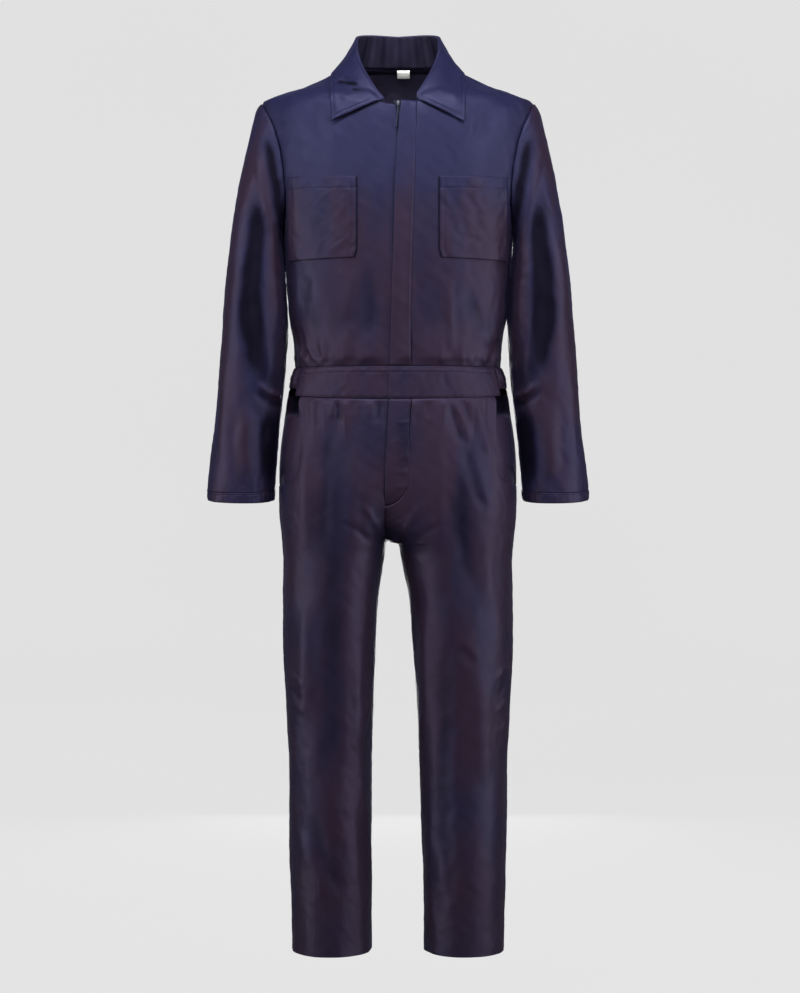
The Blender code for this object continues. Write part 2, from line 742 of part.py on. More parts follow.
def zip_strip():
    """Both zip tapes and the chain between the front edges, as one strip behind the fly."""
    levels = [ZIP_END, -0.640, -0.590, -0.545, -0.508, -0.485, -0.445, -0.400, -0.350, -0.300,
              -0.250, -0.200, -0.151, -0.117, -0.095, ZIP_TOP]
    tape, chain = CLOTH + 0.0006, 0.0005
    stations = np.linspace(0, 1, 6)
    recess = [tape, tape, chain, chain, tape, tape]

    def surface(u, v, inner):
        z = rows(levels, v)
        edge, middle = fly_edge(z), zip_middle(z)
        chain_ends = [middle - ZIP_CHAIN - 0.0002, middle - ZIP_CHAIN, middle + ZIP_CHAIN,
                      middle + ZIP_CHAIN + 0.0002]
        places = np.array([edge + ZIP_TAPE[0] + np.minimum(read("zip", "offset", z), 0), *chain_ends,
                           edge + ZIP_TAPE[1]])
        column = np.rint(u * 5).astype(int)
        x = np.take_along_axis(places, column[None, :], 0)[0]
        sunk = np.interp(u, stations, recess) * (1 - inner) + (tape + 0.0010) * inner
        sunk = sunk + 0.0008 * ease((-0.60 - z) / 0.04)
        share = share_at_x(1, "front", x, z)
        on_hips = legs_raised(1, "front", share, z, -sunk)
        on_torso = raised(torso, turn_at_x(x, z), z, -sunk)
        return np.where((z < WAIST_BOTTOM)[:, None], on_hips, on_torso)

    return wall("zip", surface, 5, len(levels) - 1, colour=INSIDE_COLOUR)


def chest_pocket(side, name):
    """A patch pocket, made from the front's points, moved out; its mouth stands off a little."""
    def surface(u, v, inner):
        z = POCKET_BOTTOM + (POCKET_TOP - POCKET_BOTTOM) * v
        z = z - 0.0035 * (1 - v) * u + 0.0015 * v * u
        corner = 0.004 * ease((0.12 - v) / 0.12) * ease((0.12 - u) / 0.12)
        x = POCKET_IN + (POCKET_OUT - POCKET_IN) * u + corner
        turn = side * turn_at_x(x, z)
        height = POCKET_LIFT + CLOTH + 0.0016 * ease(v * 1.2 - 0.2) * np.sin(math.pi * u) + 0.0009 * u**3
        height = height + folds_of("torso", side * x, z)
        return raised(torso, turn, z, height - CLOTH * inner)

    return wall(name, surface, 8, 7)


# ---------------------------------------------------------------- trousers
FRONT_COLUMNS = 13
FLY_CELLS = 4  # columns of a front that lie below the fly
MOUTH_CELLS = 3  # columns that lie below a pocket's mouth


def waist_gathers(z, top):
    """Strength of the trousers' gathers, which run down from the waist seam."""
    return 0.0026 * ease((top - z) / 0.011) * (1 - ease((top - z) / 0.095))


def fly_share(column):
    """A column's place across the fly; columns crowd toward the J's straight part."""
    return np.sin(np.clip(column / FLY_CELLS, 0, 1) * math.pi / 2)


def fly_sag(share_of_fly):
    """How far the J of the fly's stitching runs below its straight part, across the fly's width."""
    return (FLY_CURVE_TOP - FLY_END) * np.sqrt(np.clip(1 - share_of_fly**2, 0, 1))


def mouth_sag(share_of_mouth):
    """How far the pocket mouth's curve runs below its straight part, out to the side seam."""
    return (MOUTH_CURVE - MOUTH_END) * np.sqrt(np.clip(1 - (1 - share_of_mouth) ** 2, 0, 1))


def dipped(level, share):
    """Rows near the waist follow the dip of the band's lower edge."""
    near = 1 - ease((WAIST_BOTTOM - level) / 0.05)
    return level - WAIST_DIP * np.cos(share * math.pi / 2) ** 2 * near


def leg_front(side, name):
    """One trouser front: cut away under the fly on the left, and outside the pocket's mouth."""
    rows_down = len(LEG_LEVELS) - 1
    fly_row = LEG_LEVELS.index(FLY_CURVE_TOP)
    mouth_row = LEG_LEVELS.index(MOUTH_CURVE)

    def surface(u, v, inner):
        level = rows(LEG_LEVELS, v)
        column = np.rint(u * FRONT_COLUMNS)
        high = np.maximum(level, -0.74)
        edge = fly_edge(high) if side > 0 else zip_middle(high) - ZIP_EDGE
        under = ease((level + 0.715) / 0.015)
        first = share_at_x(side, "front", edge, level) * (under if side < 0 else 0) + 0 * level
        wide = fly_edge(high) + FLY_LOWER_WIDTH + SEAM
        sewn = share_at_x(side, "front", wide, high)
        at_mouth = share_at_x(side, "front", side * read("mouth", "x", level), level)
        at_mouth = np.where(level < MOUTH_END, 0.78, at_mouth)
        flies = FLY_CELLS if side > 0 else 0
        seam = 1 - SEAM / 2 / 0.11
        fly_part = fly_share(column)
        main = (column - flies) / (FRONT_COLUMNS - MOUTH_CELLS - flies)
        mouth_part = np.clip((column - FRONT_COLUMNS + MOUTH_CELLS) / MOUTH_CELLS, 0, 1)
        left = sewn if side > 0 else first
        share = left + (at_mouth - left) * np.clip(main, 0, 1) + (seam - at_mouth) * mouth_part
        share = np.where(column < flies, sewn * fly_part, share)
        sag = mouth_sag(mouth_part) * (1 - ease((MOUTH_CURVE - level) / 0.085))
        if side > 0:
            sag = sag + np.where(column < flies, fly_sag(fly_part), 0) * (
                1 - ease((FLY_CURVE_TOP - level) / 0.110))
        z = dipped(level, share) - np.where(level > FLY_CURVE_TOP - 0.2, sag, 0)
        points = hips(side, "front")(share, z)
        top = dipped(np.full_like(z, LEG_LEVELS[0]), share)
        strength = waist_gathers(z, top) * ease(u * 5) * ease((1 - u) * 5)
        height = folds_of("legs", points[..., 0], z) * ease((share - 0.02) * 8)
        height = height + strength * (ripple(u, FRONT_COLUMNS, 3 + side) + 0.4)
        return legs_raised(side, "front", share, z, height - CLOTH * inner)

    def open_cell(column, row):
        in_fly = side > 0 and column < FLY_CELLS and row < fly_row
        in_mouth = column >= FRONT_COLUMNS - MOUTH_CELLS and row < mouth_row
        return in_fly or in_mouth

    return wall(name, surface, FRONT_COLUMNS, rows_down, open_cell=open_cell)


def leg_back(side, name, columns=11):
    """One trouser back, from the centre back seam to the side seam and inseam, down to the hem."""
    levels = [ELASTIC_BOTTOM - 0.0083, *LEG_LEVELS[1:5], -0.740, *LEG_LEVELS[8:]]

    def surface(u, v, inner):
        level = rows(levels, v)
        gap = SEAM / 2 / 0.11
        share = gap + (1 - 2 * gap) * u
        rise = 0.008 * share * share
        z = level + rise * (1 - ease((levels[0] - level) / 0.04))
        top = levels[0] + rise
        strength = waist_gathers(z, top) * ease(u * 6) * ease((1 - u) * 6)
        height = strength * (1.2 * ripple(u, columns, 5 + side) + 0.5)
        return legs_raised(side, "back", share, z, height - CLOTH * inner)

    return wall(name, surface, columns, len(levels) - 1)


def fly_lower():
    """The fly's trouser stretch, over the zip, stitched down along a J."""
    levels = [-0.5758, -0.603, -0.650, -0.680, MOUTH_CURVE, FLY_CURVE_TOP]

    def surface(u, v, inner):
        level = rows(levels, v)
        across = fly_share(u * FLY_CELLS)
        low = ease((-0.65 - level) / (-0.65 - FLY_CURVE_TOP))
        z = level - fly_sag(across) * low + 1.5 * SEAM * low
        sewn = share_at_x(1, "front", fly_edge(level) + FLY_LOWER_WIDTH, level)
        share = sewn * across
        lift = fly_height(across) * (1 - ease((MOUTH_CURVE - level) / (MOUTH_CURVE - FLY_CURVE_TOP)))
        points = hips(1, "front")(share, z)
        folds = folds_of("legs", points[..., 0], z) * ease((share - 0.02) * 8)
        return legs_raised(1, "front", share, z, lift + folds - CLOTH * inner)

    return wall("fly_lower", surface, FLY_CELLS, len(levels) - 1)


def pocket_facing(side, name):
    """The piece behind a side pocket's mouth: it dips in below the band, where the mouth gapes."""
    levels = [-0.733, -0.716, MOUTH_CURVE, -0.685, -0.650, -0.616, -0.604, -0.594, -0.583, -0.572,
              -0.5615, FACING_TOP]

    def surface(u, v, inner):
        z = rows(levels, v)
        seam = 1 - SEAM / 2 / 0.115
        first = share_at_x(side, "front", side * (read("mouth", "x", z) - 0.018), z)
        share = first + (seam - first) * u
        below = ease((-0.672 - z) / 0.013)
        above = ease((z + 0.572) / 0.010)
        flush = (1 - u**5) * (1 - below) + below
        recess = FACING_RECESS * flush + 0.0022 * below
        recess = recess + (FACING_UNDER_BAND - recess) * above
        gape = 0.016 * ease((z + 0.615) / 0.030) * (1 - ease((z + 0.562) / 0.012))
        height = -recess - gape * np.sin(math.pi * u) ** 0.7
        return legs_raised(side, "front", share, z, height - CLOTH * inner)

    return wall(name, surface, 6, len(levels) - 1)


# ---------------------------------------------------------------- sleeves and cuffs
def sleeve_levels():
    return [0.0, 0.035, 0.08, 0.14, 0.21, 0.29, 0.38, 0.47, 0.56, 0.64, 0.71, 0.78, 0.86, CUFF_START]


def sleeve_skin(side, u, t, height):
    """Points of a sleeve, moved out by a height, on the wearer's left or mirrored to the right."""
    turn = 2 * math.pi * u
    points = sleeve(turn, t)
    round_it = sleeve(turn + STEP, t) - sleeve(turn - STEP, t)
    down_it = sleeve(turn, t + STEP) - sleeve(turn, np.maximum(t - STEP, 0))
    normal = np.cross(down_it, round_it)
    normal /= np.maximum(np.linalg.norm(normal, axis=-1, keepdims=True), 1e-12)
    creases = folds_of("sleeve", points[..., 0], points[..., 2]) * ease(np.sin(turn) * 2)
    points = points + normal * (np.asarray(height) + creases)[..., None]
    return points * np.array([side, 1, 1])


def sleeve_tube(side, name):
    """A sleeve in one piece, from its armhole to the cuff."""
    levels = sleeve_levels()

    def surface(u, v, inner):
        t = rows(levels, v)
        return sleeve_skin(side, u, t, -CLOTH * inner + 0 * t)

    return wall(name, surface, 2 * ARM_TURNS, len(levels) - 1, ring=True)


def cuff(side, name):
    """The turned end of a sleeve, a little wider than the sleeve."""
    def surface(u, v, inner):
        t = CUFF_START + 0.0008 + (1 - CUFF_START - 0.0008) * v
        return sleeve_skin(side, u, t, CUFF_LIFT - (CLOTH + 0.0005) * inner + 0 * t)

    return wall(name, surface, 2 * ARM_TURNS, 2, ring=True)


# ---------------------------------------------------------------- collar
def neckline():
    """The neck edge from the centre back, as turns and points, on the wearer's left side."""
    back = np.linspace(math.pi, math.pi / 2, 7)
    front = np.array(sorted([NECK_LOW, *armhole_levels()[-2:], *NECK_LEVELS, TOP], reverse=True))
    points = np.concatenate([torso(back, neck_rise(back)), torso(turn_at_neck(front), front)])
    depth = np.where(points[:, 1] > 0, NECK_BACK, NECK_FRONT)
    turns = np.arctan2(points[:, 0] / NECK_HALF, points[:, 1] / depth)
    return np.degrees(turns), points


def push_off(points, clear):
    """Moves points out until they lie at least so far from the torso."""
    points = points.copy()
    for _ in range(4):
        def ratio(p):
            z = np.minimum(p[..., 2], 0.0)
            half, square = read("torso", "half", z), read("torso", "square", z)
            depth = np.where(p[..., 1] < 0, read("torso", "front", z), read("torso", "back", z))
            squared = 2 + 9 * square
            across = np.abs(p[..., 0] / half) ** squared
            return (across + np.abs(p[..., 1] / depth) ** squared) ** (1 / squared)

        here = ratio(points)
        slope = np.stack([
            (ratio(points + STEP * np.eye(3)[k]) - ratio(points - STEP * np.eye(3)[k])) / (2 * STEP)
            for k in range(3)
        ], -1)
        steep = np.maximum(np.linalg.norm(slope, axis=-1), 1e-6)
        short = np.maximum(clear - (here - 1) / steep, 0)
        points = points + slope / steep[..., None] * short[..., None]
    return points


def collar_columns():
    """Signed angles from the centre back, one for each column, so that seams share their points."""
    turns, _ = neckline()
    columns = [t for t in turns if t < COLLAR_END[1] - 2]
    left = np.unique(np.round(columns, 3))
    right = np.unique(np.round([t for t in turns if t < COLLAR_END[-1] - 2], 3))
    return np.concatenate([[-COLLAR_END[-1]], -right[::-1], left[left > 0.5], [COLLAR_END[1]]])


def collar_middle(turn, part):
    """The middle of the collar's cloth: part 0..1 up the stand, 1..2 over the roll, 2..3 down the fall."""
    side = np.sign(turn)
    angle = np.abs(turn)
    turns, edge = neckline()
    order = np.argsort(turns)
    foot = np.stack([np.interp(angle, turns[order], edge[order, k]) for k in range(3)], -1)
    foot = foot * np.array([0.992, 0.992, 1]) + np.array([0, 0, 0.0006])

    stretch = (165 - COLLAR_SAME) / (COLLAR_END[1] - COLLAR_SAME)
    stretched = COLLAR_SAME + (angle - COLLAR_SAME) * stretch
    angle = np.where((side > 0) & (angle > COLLAR_SAME), stretched, angle)

    def key(name):
        return np.stack([read("collar", f"{name}_{k}", angle, "turn") for k in "xyz"], -1)

    roll, rim = key("roll"), key("edge")
    kept_out = np.maximum(roll[..., 0], COLLAR_LEFT_EDGE)
    roll[..., 0] = np.where((side > 0) & (angle > 120), kept_out, roll[..., 0])
    away = np.stack([roll[..., 0] / NECK_HALF**2, roll[..., 1] / NECK_FRONT**2, 0 * angle], -1)
    away /= np.linalg.norm(away, axis=-1, keepdims=True)
    front = ease((angle - 105) / 50)
    up = np.array([0, 0, 1.0])
    stand_top = roll - away * COLLAR_FOLD - up * 0.001
    fall_top = roll + away * COLLAR_FOLD - up * 0.001
    stand = foot + (stand_top - foot) * np.clip(part, 0, 1)[..., None]
    bend = math.pi * np.clip(part - 1, 0, 1)[..., None]
    over = roll - up * 0.001 - away * COLLAR_FOLD * np.cos(bend) + up * COLLAR_FOLD * np.sin(bend)
    down = np.clip(part - 2, 0, 1)
    fall = fall_top + (rim - fall_top) * down[..., None]
    fall = fall + away * (-0.0025 * np.sin(math.pi * down) * (1 - front))[..., None]
    end = ease((angle - 134) / 22)
    clear = (COLLAR_CLEAR + COLLAR_SPRING * end * down) * ease(down / 0.15)
    fall = np.where((down > 0.02)[..., None], push_off(fall, clear), fall)
    part = part[..., None]
    points = np.where(part < 1, stand, np.where(part <= 2, over, fall))
    return points * np.stack([np.where(side < 0, -1.0, 1.0), 1 + 0 * angle, 1 + 0 * angle], -1)


def collar():
    """One band: it stands up from the neck seam, rolls over and falls outside."""
    columns = collar_columns()
    parts = [0, 0.5, 1, 1.34, 1.66, 2, 2.25, 2.5, 2.75, 3]

    def surface(u, v, inner):
        turn = np.interp(u * (len(columns) - 1), np.arange(len(columns)), columns)
        part = rows(parts, v)
        round_it = collar_middle(turn + 0.4, part) - collar_middle(turn - 0.4, part)
        above = collar_middle(turn, np.maximum(part - 0.02, 0))
        over_it = collar_middle(turn, np.minimum(part + 0.02, 3)) - above
        normal = np.cross(round_it, over_it)
        normal /= np.maximum(np.linalg.norm(normal, axis=-1, keepdims=True), 1e-12)
        return collar_middle(turn, part) + normal * COLLAR_WALL * (inner - 0.5)

    return wall("collar", surface, len(columns) - 1, len(parts) - 1)


def neck_label():
    """A small bare label inside the back of the neck, hung from the neck seam."""
    def surface(u, v, inner):
        x = LABEL_FROM + (LABEL_TO - LABEL_FROM) * u
        z = LABEL_BOTTOM + (LABEL_TOP - LABEL_BOTTOM) * v
        turn = math.pi - np.arcsin(unswell(x / read("torso", "half", z), read("torso", "square", z)))
        return raised(torso, turn, z, -CLOTH - 0.0006 - 0.0006 * inner + 0 * z)

    return wall("neck_label", surface, 4, 4, colour=(0.82, 0.79, 0.70))


# ---------------------------------------------------------------- zip slider and pull tab
SLIDER_WIDTH = 0.0050
SLIDER_HEIGHT = 0.0090
SLIDER_DEPTH = 0.0020
BRIDGE_WINDOW = 0.0018  # from the slider's body to its bridge
BRIDGE_BAR = 0.0008
BRIDGE_WIDTH = 0.0012
BRIDGE_REACH = 0.0030
PULL_LENGTH = 0.0440
PULL_WALL = 0.0009
METAL = (0.62, 0.62, 0.64)
SLIDER_Z = -0.0765
BOOLEAN_SCALE = 1000.0  # tiny pieces are united at a larger size


def slider_frame():
    """A frame on the chain at the slider: its origin and its right, up and outward directions."""
    x = zip_middle(np.array([SLIDER_Z]))
    points, normal = outward(torso, turn_at_x(x, np.array([SLIDER_Z])), np.array([SLIDER_Z]))
    out = Vector((0, normal[0][1], normal[0][2])).normalized()
    right = Vector((1, 0, 0))
    up = right.cross(-out)
    turned = Matrix((right, up, out)).transposed().to_4x4()
    return Matrix.Translation(Vector(points[0])) @ turned


def hinge():
    """The pull's axis: a line along X through the window under the slider's bridge."""
    return slider_frame() @ Vector((0, 0, SLIDER_DEPTH + BRIDGE_WINDOW / 2))


def slider_bridge(bm):
    """The bridge over the slider, a bent strap whose feet go into the body."""
    front = SLIDER_DEPTH + BRIDGE_WINDOW
    foot = 0.0009
    sunk = SLIDER_DEPTH - 0.0004
    outline = [
        (-BRIDGE_REACH, sunk),
        (-BRIDGE_REACH, front + BRIDGE_BAR * 0.4),
        (-BRIDGE_REACH + 0.0006, front + BRIDGE_BAR),
        (BRIDGE_REACH - 0.0006, front + BRIDGE_BAR),
        (BRIDGE_REACH, front + BRIDGE_BAR * 0.4),
        (BRIDGE_REACH, sunk),
        (BRIDGE_REACH - foot, sunk),
        (BRIDGE_REACH - foot, front),
        (-BRIDGE_REACH + foot, front),
        (-BRIDGE_REACH + foot, sunk),
    ]
    corners = [bm.verts.new((-BRIDGE_WIDTH / 2, y, z)) for y, z in outline]
    side = bm.faces.new(corners)
    far = bmesh.ops.extrude_face_region(bm, geom=[side], use_keep_orig=True)["geom"]
    moved = [v for v in far if isinstance(v, bmesh.types.BMVert)]
    bmesh.ops.translate(bm, vec=(BRIDGE_WIDTH, 0, 0), verts=moved)
    bmesh.ops.recalc_face_normals(bm, faces=bm.faces)


def slider_body(bm):
    """The slider's body, a block with rounded edges."""
    made = bmesh.ops.create_cube(bm, size=1.0)["verts"]
    bmesh.ops.scale(bm, vec=(SLIDER_WIDTH, SLIDER_HEIGHT, SLIDER_DEPTH), verts=made)
    bmesh.ops.translate(bm, vec=(0, 0, SLIDER_DEPTH / 2), verts=made)
    bmesh.ops.bevel(bm, geom=list(bm.edges), offset=0.0005, segments=2, profile=0.5,
                    affect="EDGES", material=-1)


def zip_slider():
    """The slider: its body and the bridge that the pull hangs from, united."""
    helpers = []
    for shape in (slider_body, slider_bridge):
        bm = bmesh.new()
        shape(bm)
        bmesh.ops.scale(bm, vec=(BOOLEAN_SCALE,) * 3, verts=bm.verts)
        mesh = bpy.data.meshes.new("slider_piece")
        bm.to_mesh(mesh)
        bm.free()
        helper = bpy.data.objects.new("slider_piece", mesh)
        helper.hide_render = True
        helper.display_type = "WIRE"
        bpy.context.scene.collection.objects.link(helper)
        helpers.append(helper)
    union = helpers[0].modifiers.new("union", "BOOLEAN")
    union.operation = "UNION"
    union.solver = "EXACT"
    union.object = helpers[1]
    bpy.context.view_layer.update()
    united = helpers[0].evaluated_get(bpy.context.evaluated_depsgraph_get())
    bm = bmesh.new()
    bm.from_mesh(united.to_mesh())
    for helper in helpers:
        bpy.data.objects.remove(helper)
    bmesh.ops.scale(bm, vec=(1 / BOOLEAN_SCALE,) * 3, verts=bm.verts)
    bmesh.ops.transform(bm, matrix=slider_frame(), verts=bm.verts)
    return finish("zip_slider", bm, METAL, 0.3, 1.0)


def zip_pull():
    """The pull tab: a loop round the bridge and a slim leaf, leaning along the fly's edge."""
    stations = [(0.00045, 0.0019), (-0.00045, 0.0019), (-0.0036, 0.0018), (-0.0052, 0.0013),
                (-0.0080, 0.0012), (-0.0250, 0.0012), (-0.0330, 0.0016), (-0.0410, 0.0019),
                (-0.0432, 0.0015), (-PULL_LENGTH, 0.0007)]
    bm = bmesh.new()
    bmesh.ops.create_grid(bm, x_segments=3, y_segments=len(stations) - 1, size=0.5)
    hole = []
    for face in bm.faces:
        row = round((0.5 - face.calc_center_median().y) * (len(stations) - 1) - 0.5)
        column = round((face.calc_center_median().x + 0.5) * 3 - 0.5)
        if (row, column) == (1, 1):
            hole.append(face)
    for v in bm.verts:
        height, half = stations[round((0.5 - v.co.y) * (len(stations) - 1))]
        column = round((v.co.x + 0.5) * 3)
        across = (-1, -0.53, 0.53, 1)[column] * half
        lean = 0.094 * min(height + 0.0052, 0.0)
        v.co = (across + lean, height, -PULL_WALL / 2)
    bmesh.ops.delete(bm, geom=hole, context="FACES")
    skin = bmesh.ops.extrude_face_region(bm, geom=list(bm.faces), use_keep_orig=True)["geom"]
    moved = [v for v in skin if isinstance(v, bmesh.types.BMVert)]
    bmesh.ops.translate(bm, vec=(0, 0, PULL_WALL), verts=moved)
    turned = slider_frame().to_3x3().to_4x4()
    bmesh.ops.transform(bm, matrix=turned, verts=bm.verts)
    return finish("zip_pull", bm, METAL, 0.35, 1.0, origin=hinge())


# ---------------------------------------------------------------- the suit
def build():
    for old in list(bpy.data.objects):
        bpy.data.objects.remove(old)
    bpy.context.scene.collection.objects.link(bpy.data.objects.new("boiler_suit", None))
    front_panel(-1, "front_right", 13)
    front_panel(1, "front_left", 11)
    back_panel()
    fly_upper()
    fly_lower()
    zip_strip()
    waistband(-1, "waistband_right")
    waistband(1, "waistband_left")
    elastic()
    collar()
    neck_label()
    zip_slider()
    zip_pull()
    for side, hand in ((1, "left"), (-1, "right")):
        sleeve_tube(side, f"sleeve_{hand}")
        cuff(side, f"cuff_{hand}")
        chest_pocket(side, f"chest_pocket_{hand}")
        leg_front(side, f"leg_front_{hand}")
        leg_back(side, f"leg_back_{hand}")
        pocket_facing(side, f"pocket_facing_{hand}")


build()
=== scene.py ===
# %% [markdown]
# # A boiler suit, cut and sewn
#
# A boiler suit is a bodice, two sleeves and a pair of trousers sewn together at a waistband. Here it hangs as
# on an unseen wearer: hollow, filled out at the shoulders, soft everywhere else. The finished frame already
# holds one plain solid for every cut piece. This lesson lays a thin shell of cloth over each of those solids,
# puts in the creases one by one, sews the visible rows of stitching, and finishes everything as a satin twill
# that is navy one way and plum the other.
#
# The frame comes first, because every piece is measured from it.

# %% Load the frame
import json
import math

import bmesh
import bpy
import numpy as np
from mathutils import Matrix, Vector

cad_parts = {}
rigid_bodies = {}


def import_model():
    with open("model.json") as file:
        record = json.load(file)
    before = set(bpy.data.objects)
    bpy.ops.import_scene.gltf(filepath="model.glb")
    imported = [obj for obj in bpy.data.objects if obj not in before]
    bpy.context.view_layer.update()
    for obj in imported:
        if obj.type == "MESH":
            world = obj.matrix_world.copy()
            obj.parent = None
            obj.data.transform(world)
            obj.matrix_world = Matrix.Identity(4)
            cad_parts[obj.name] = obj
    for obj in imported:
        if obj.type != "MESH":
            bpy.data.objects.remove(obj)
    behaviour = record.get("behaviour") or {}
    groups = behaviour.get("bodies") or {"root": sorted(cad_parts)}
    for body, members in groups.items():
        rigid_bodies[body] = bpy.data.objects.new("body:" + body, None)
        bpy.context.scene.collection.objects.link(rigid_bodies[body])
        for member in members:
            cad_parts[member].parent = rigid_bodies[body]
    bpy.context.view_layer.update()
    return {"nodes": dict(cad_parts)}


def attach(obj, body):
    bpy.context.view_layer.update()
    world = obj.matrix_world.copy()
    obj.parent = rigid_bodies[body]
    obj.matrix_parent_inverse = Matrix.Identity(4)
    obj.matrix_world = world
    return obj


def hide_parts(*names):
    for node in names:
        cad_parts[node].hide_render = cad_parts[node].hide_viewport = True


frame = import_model()

# %% [markdown]
# ## The camera
#
# A fashion photographer stands far off with a long lens, so that the garment is hardly distorted. The camera
# looks level along +Y from 4.5 m. A vertical shift frames the suit a little above the middle instead of
# tilting the camera, which keeps the legs upright.

# %% Camera
CAMERA_DISTANCE = 4.5
CAMERA_ASIDE, CAMERA_LEVEL = 0.00346, -0.628
PICTURE_HEIGHT = 1.71789  # metres that the picture spans at the suit
PICTURE_PIXELS = 993
SHIFT_PIXELS = -66.5  # how far the view is shifted

camera = bpy.data.objects.new("camera", bpy.data.cameras.new("camera"))
bpy.context.scene.collection.objects.link(camera)
bpy.context.scene.camera = camera
camera.location = (CAMERA_ASIDE, -CAMERA_DISTANCE, CAMERA_LEVEL)
camera.rotation_euler = (math.radians(90), 0, 0)
camera.data.sensor_fit = "VERTICAL"
camera.data.sensor_height = 36
camera.data.lens = 36 * CAMERA_DISTANCE / PICTURE_HEIGHT
camera.data.shift_y = SHIFT_PIXELS / PICTURE_PIXELS
print("lens", round(camera.data.lens, 1), "mm")

# %% [markdown]
# ## Sizes of the cut
#
# A pattern cutter works from a few sizes: how wide the neck is, where the armpit, waist and crotch lie, how
# wide the flap over the zip is. The same names and numbers as in the solids are used, so each shell sits on
# its own solid. The origin is between the neck ends of the shoulder seams, +Z is up, the suit faces -Y, and
# the wearer's left is +X.

# %% Driving sizes
CLOTH = 0.0015  # thickness of one wall of twill
SEAM = 0.0003  # gap between two pieces that are sewn together
STEP = 0.0005  # step used to find a form's slope

NECK_HALF = 0.0815  # half the neck opening, side to side
NECK_FRONT = 0.107  # how far the neck opening reaches forward
NECK_BACK = 0.066  # how far it reaches back
NECK_CORNER = 2.6  # 2 is an oval, more is squarer: the front of the neck
NECK_LOW = -0.0771  # height of the neckline at the centre front
NECK_RISE = 0.0045  # how much higher the neckline is at the centre back
TOP = -0.0008  # highest row of the front panels

TIP = -0.064  # height of the shoulder tip
ARMPIT = -0.300
ARM_HOLE_MIDDLE, ARM_HOLE_REACH = (TIP + ARMPIT) / 2, (TIP - ARMPIT) / 2
ARM_HOLE_DEPTH = 0.066  # half the armhole, front to back
ARM_HOLE_GAP = 0.0007  # from a body panel to the sleeve

WAIST_TOP = -0.520
WAIST_BOTTOM = -0.568
WAIST_DIP = 0.007  # how much lower the band's lower edge is at the centre front
ELASTIC_SEAM = 0.165  # where the elasticated band meets the front band, from the centre
ELASTIC_BOTTOM = -0.557
ELASTIC_WAVES = 30
ELASTIC_DEPTH = 0.0021

FLY_WIDTH = 0.036  # over which the band's lift at the fly fades away
FLY_TOP = -0.0708
FLY_LIFT = 0.0025  # how far the fly's free edge stands over the zip
FLY_LOWER_WIDTH = 0.040
FLY_CURVE_TOP = -0.715
FLY_END = -0.757

ZIP_TOP = -0.0695
ZIP_END = -0.700
ZIP_TAPE = (-0.008, 0.022)  # from the fly's free edge
ZIP_EDGE = 0.0030  # from the chain's middle to the right front's edge

POCKET_IN = 0.0682
POCKET_OUT = 0.1850
POCKET_TOP = -0.2005
POCKET_BOTTOM = -0.3370
POCKET_LIFT = 0.0007

MOUTH_CURVE = -0.700  # where a side pocket's mouth starts to curve outward
MOUTH_END = -0.725
FACING_LOW, FACING_TOP = -0.733, -0.550
FACING_RECESS = 0.0024  # from the trouser front's outer surface to the facing's
FACING_UNDER_BAND = 0.0046

CROTCH = -0.820
HEM = -1.5235

CUFF_START = 0.955  # along the sleeve, from 0 at the armhole to 1 at its end
CUFF_LIFT = 0.0010

LABEL_FROM = -0.0014
LABEL_TO = 0.0209
LABEL_BOTTOM = -0.0118
LABEL_TOP = 0.0022

SIDES = ((1, "left"), (-1, "right"))  # the wearer's sides

print("wall of cloth", CLOTH * 1000, "mm")

# %% [markdown]
# ## Outlines as tables
#
# The worn shape is described by sections: at each height, half the body's width, how far its front and back
# reach, and how square the section is. Further tables give the seams between the trouser halves, the edges of
# the flap, the zip's line, the pocket mouths, the sleeve's rings and the collar's roll. A smooth line through
# each column gives the values between the rows.

# %% Tables of the worn shape
TORSO = """
z        half    front   back    square
0        0.0815  0.0200  0.0660  0.000
-0.0040  0.0935  0.0300  0.0690  0.000
-0.0135  0.1135  0.0460  0.0770  0.000
-0.0260  0.1380  0.0645  0.0860  0.000
-0.0363  0.1610  0.0775  0.0925  0.005
-0.0467  0.1940  0.0885  0.0975  0.010
-0.0571  0.2200  0.0975  0.1015  0.012
-0.0640  0.2340  0.1017  0.1035  0.014
-0.0771  0.2345  0.1070  0.1075  0.016
-0.0986  0.2330  0.1120  0.1120  0.020
-0.1368  0.2270  0.1180  0.1170  0.026
-0.1820  0.2170  0.1225  0.1200  0.032
-0.2272  0.2075  0.1250  0.1205  0.035
-0.3000  0.1985  0.1245  0.1180  0.036
-0.3450  0.1950  0.1230  0.1155  0.036
-0.4030  0.1905  0.1200  0.1110  0.034
-0.4377  0.1860  0.1175  0.1085  0.032
-0.4723  0.1775  0.1150  0.1060  0.030
-0.4980  0.1740  0.1135  0.1045  0.030
-0.5240  0.1790  0.1130  0.1050  0.030
-0.5590  0.1880  0.1132  0.1085  0.032
-0.6110  0.1965  0.1150  0.1200  0.035
-0.6550  0.2025  0.1160  0.1310  0.036
-0.7000  0.2050  0.1160  0.1370  0.034
-0.7700  0.2045  0.1125  0.1340  0.028
-0.8200  0.2005  0.1080  0.1230  0.020
-0.8600  0.1980  0.1050  0.1160  0.016
-0.9400  0.1990  0.1010  0.1090  0.014
-1.0200  0.1975  0.0970  0.1030  0.014
-1.1090  0.1938  0.0915  0.0950  0.014
-1.2060  0.1892  0.0880  0.0915  0.014
-1.3500  0.1866  0.0865  0.0890  0.014
-1.5235  0.1834  0.0860  0.0870  0.014
"""

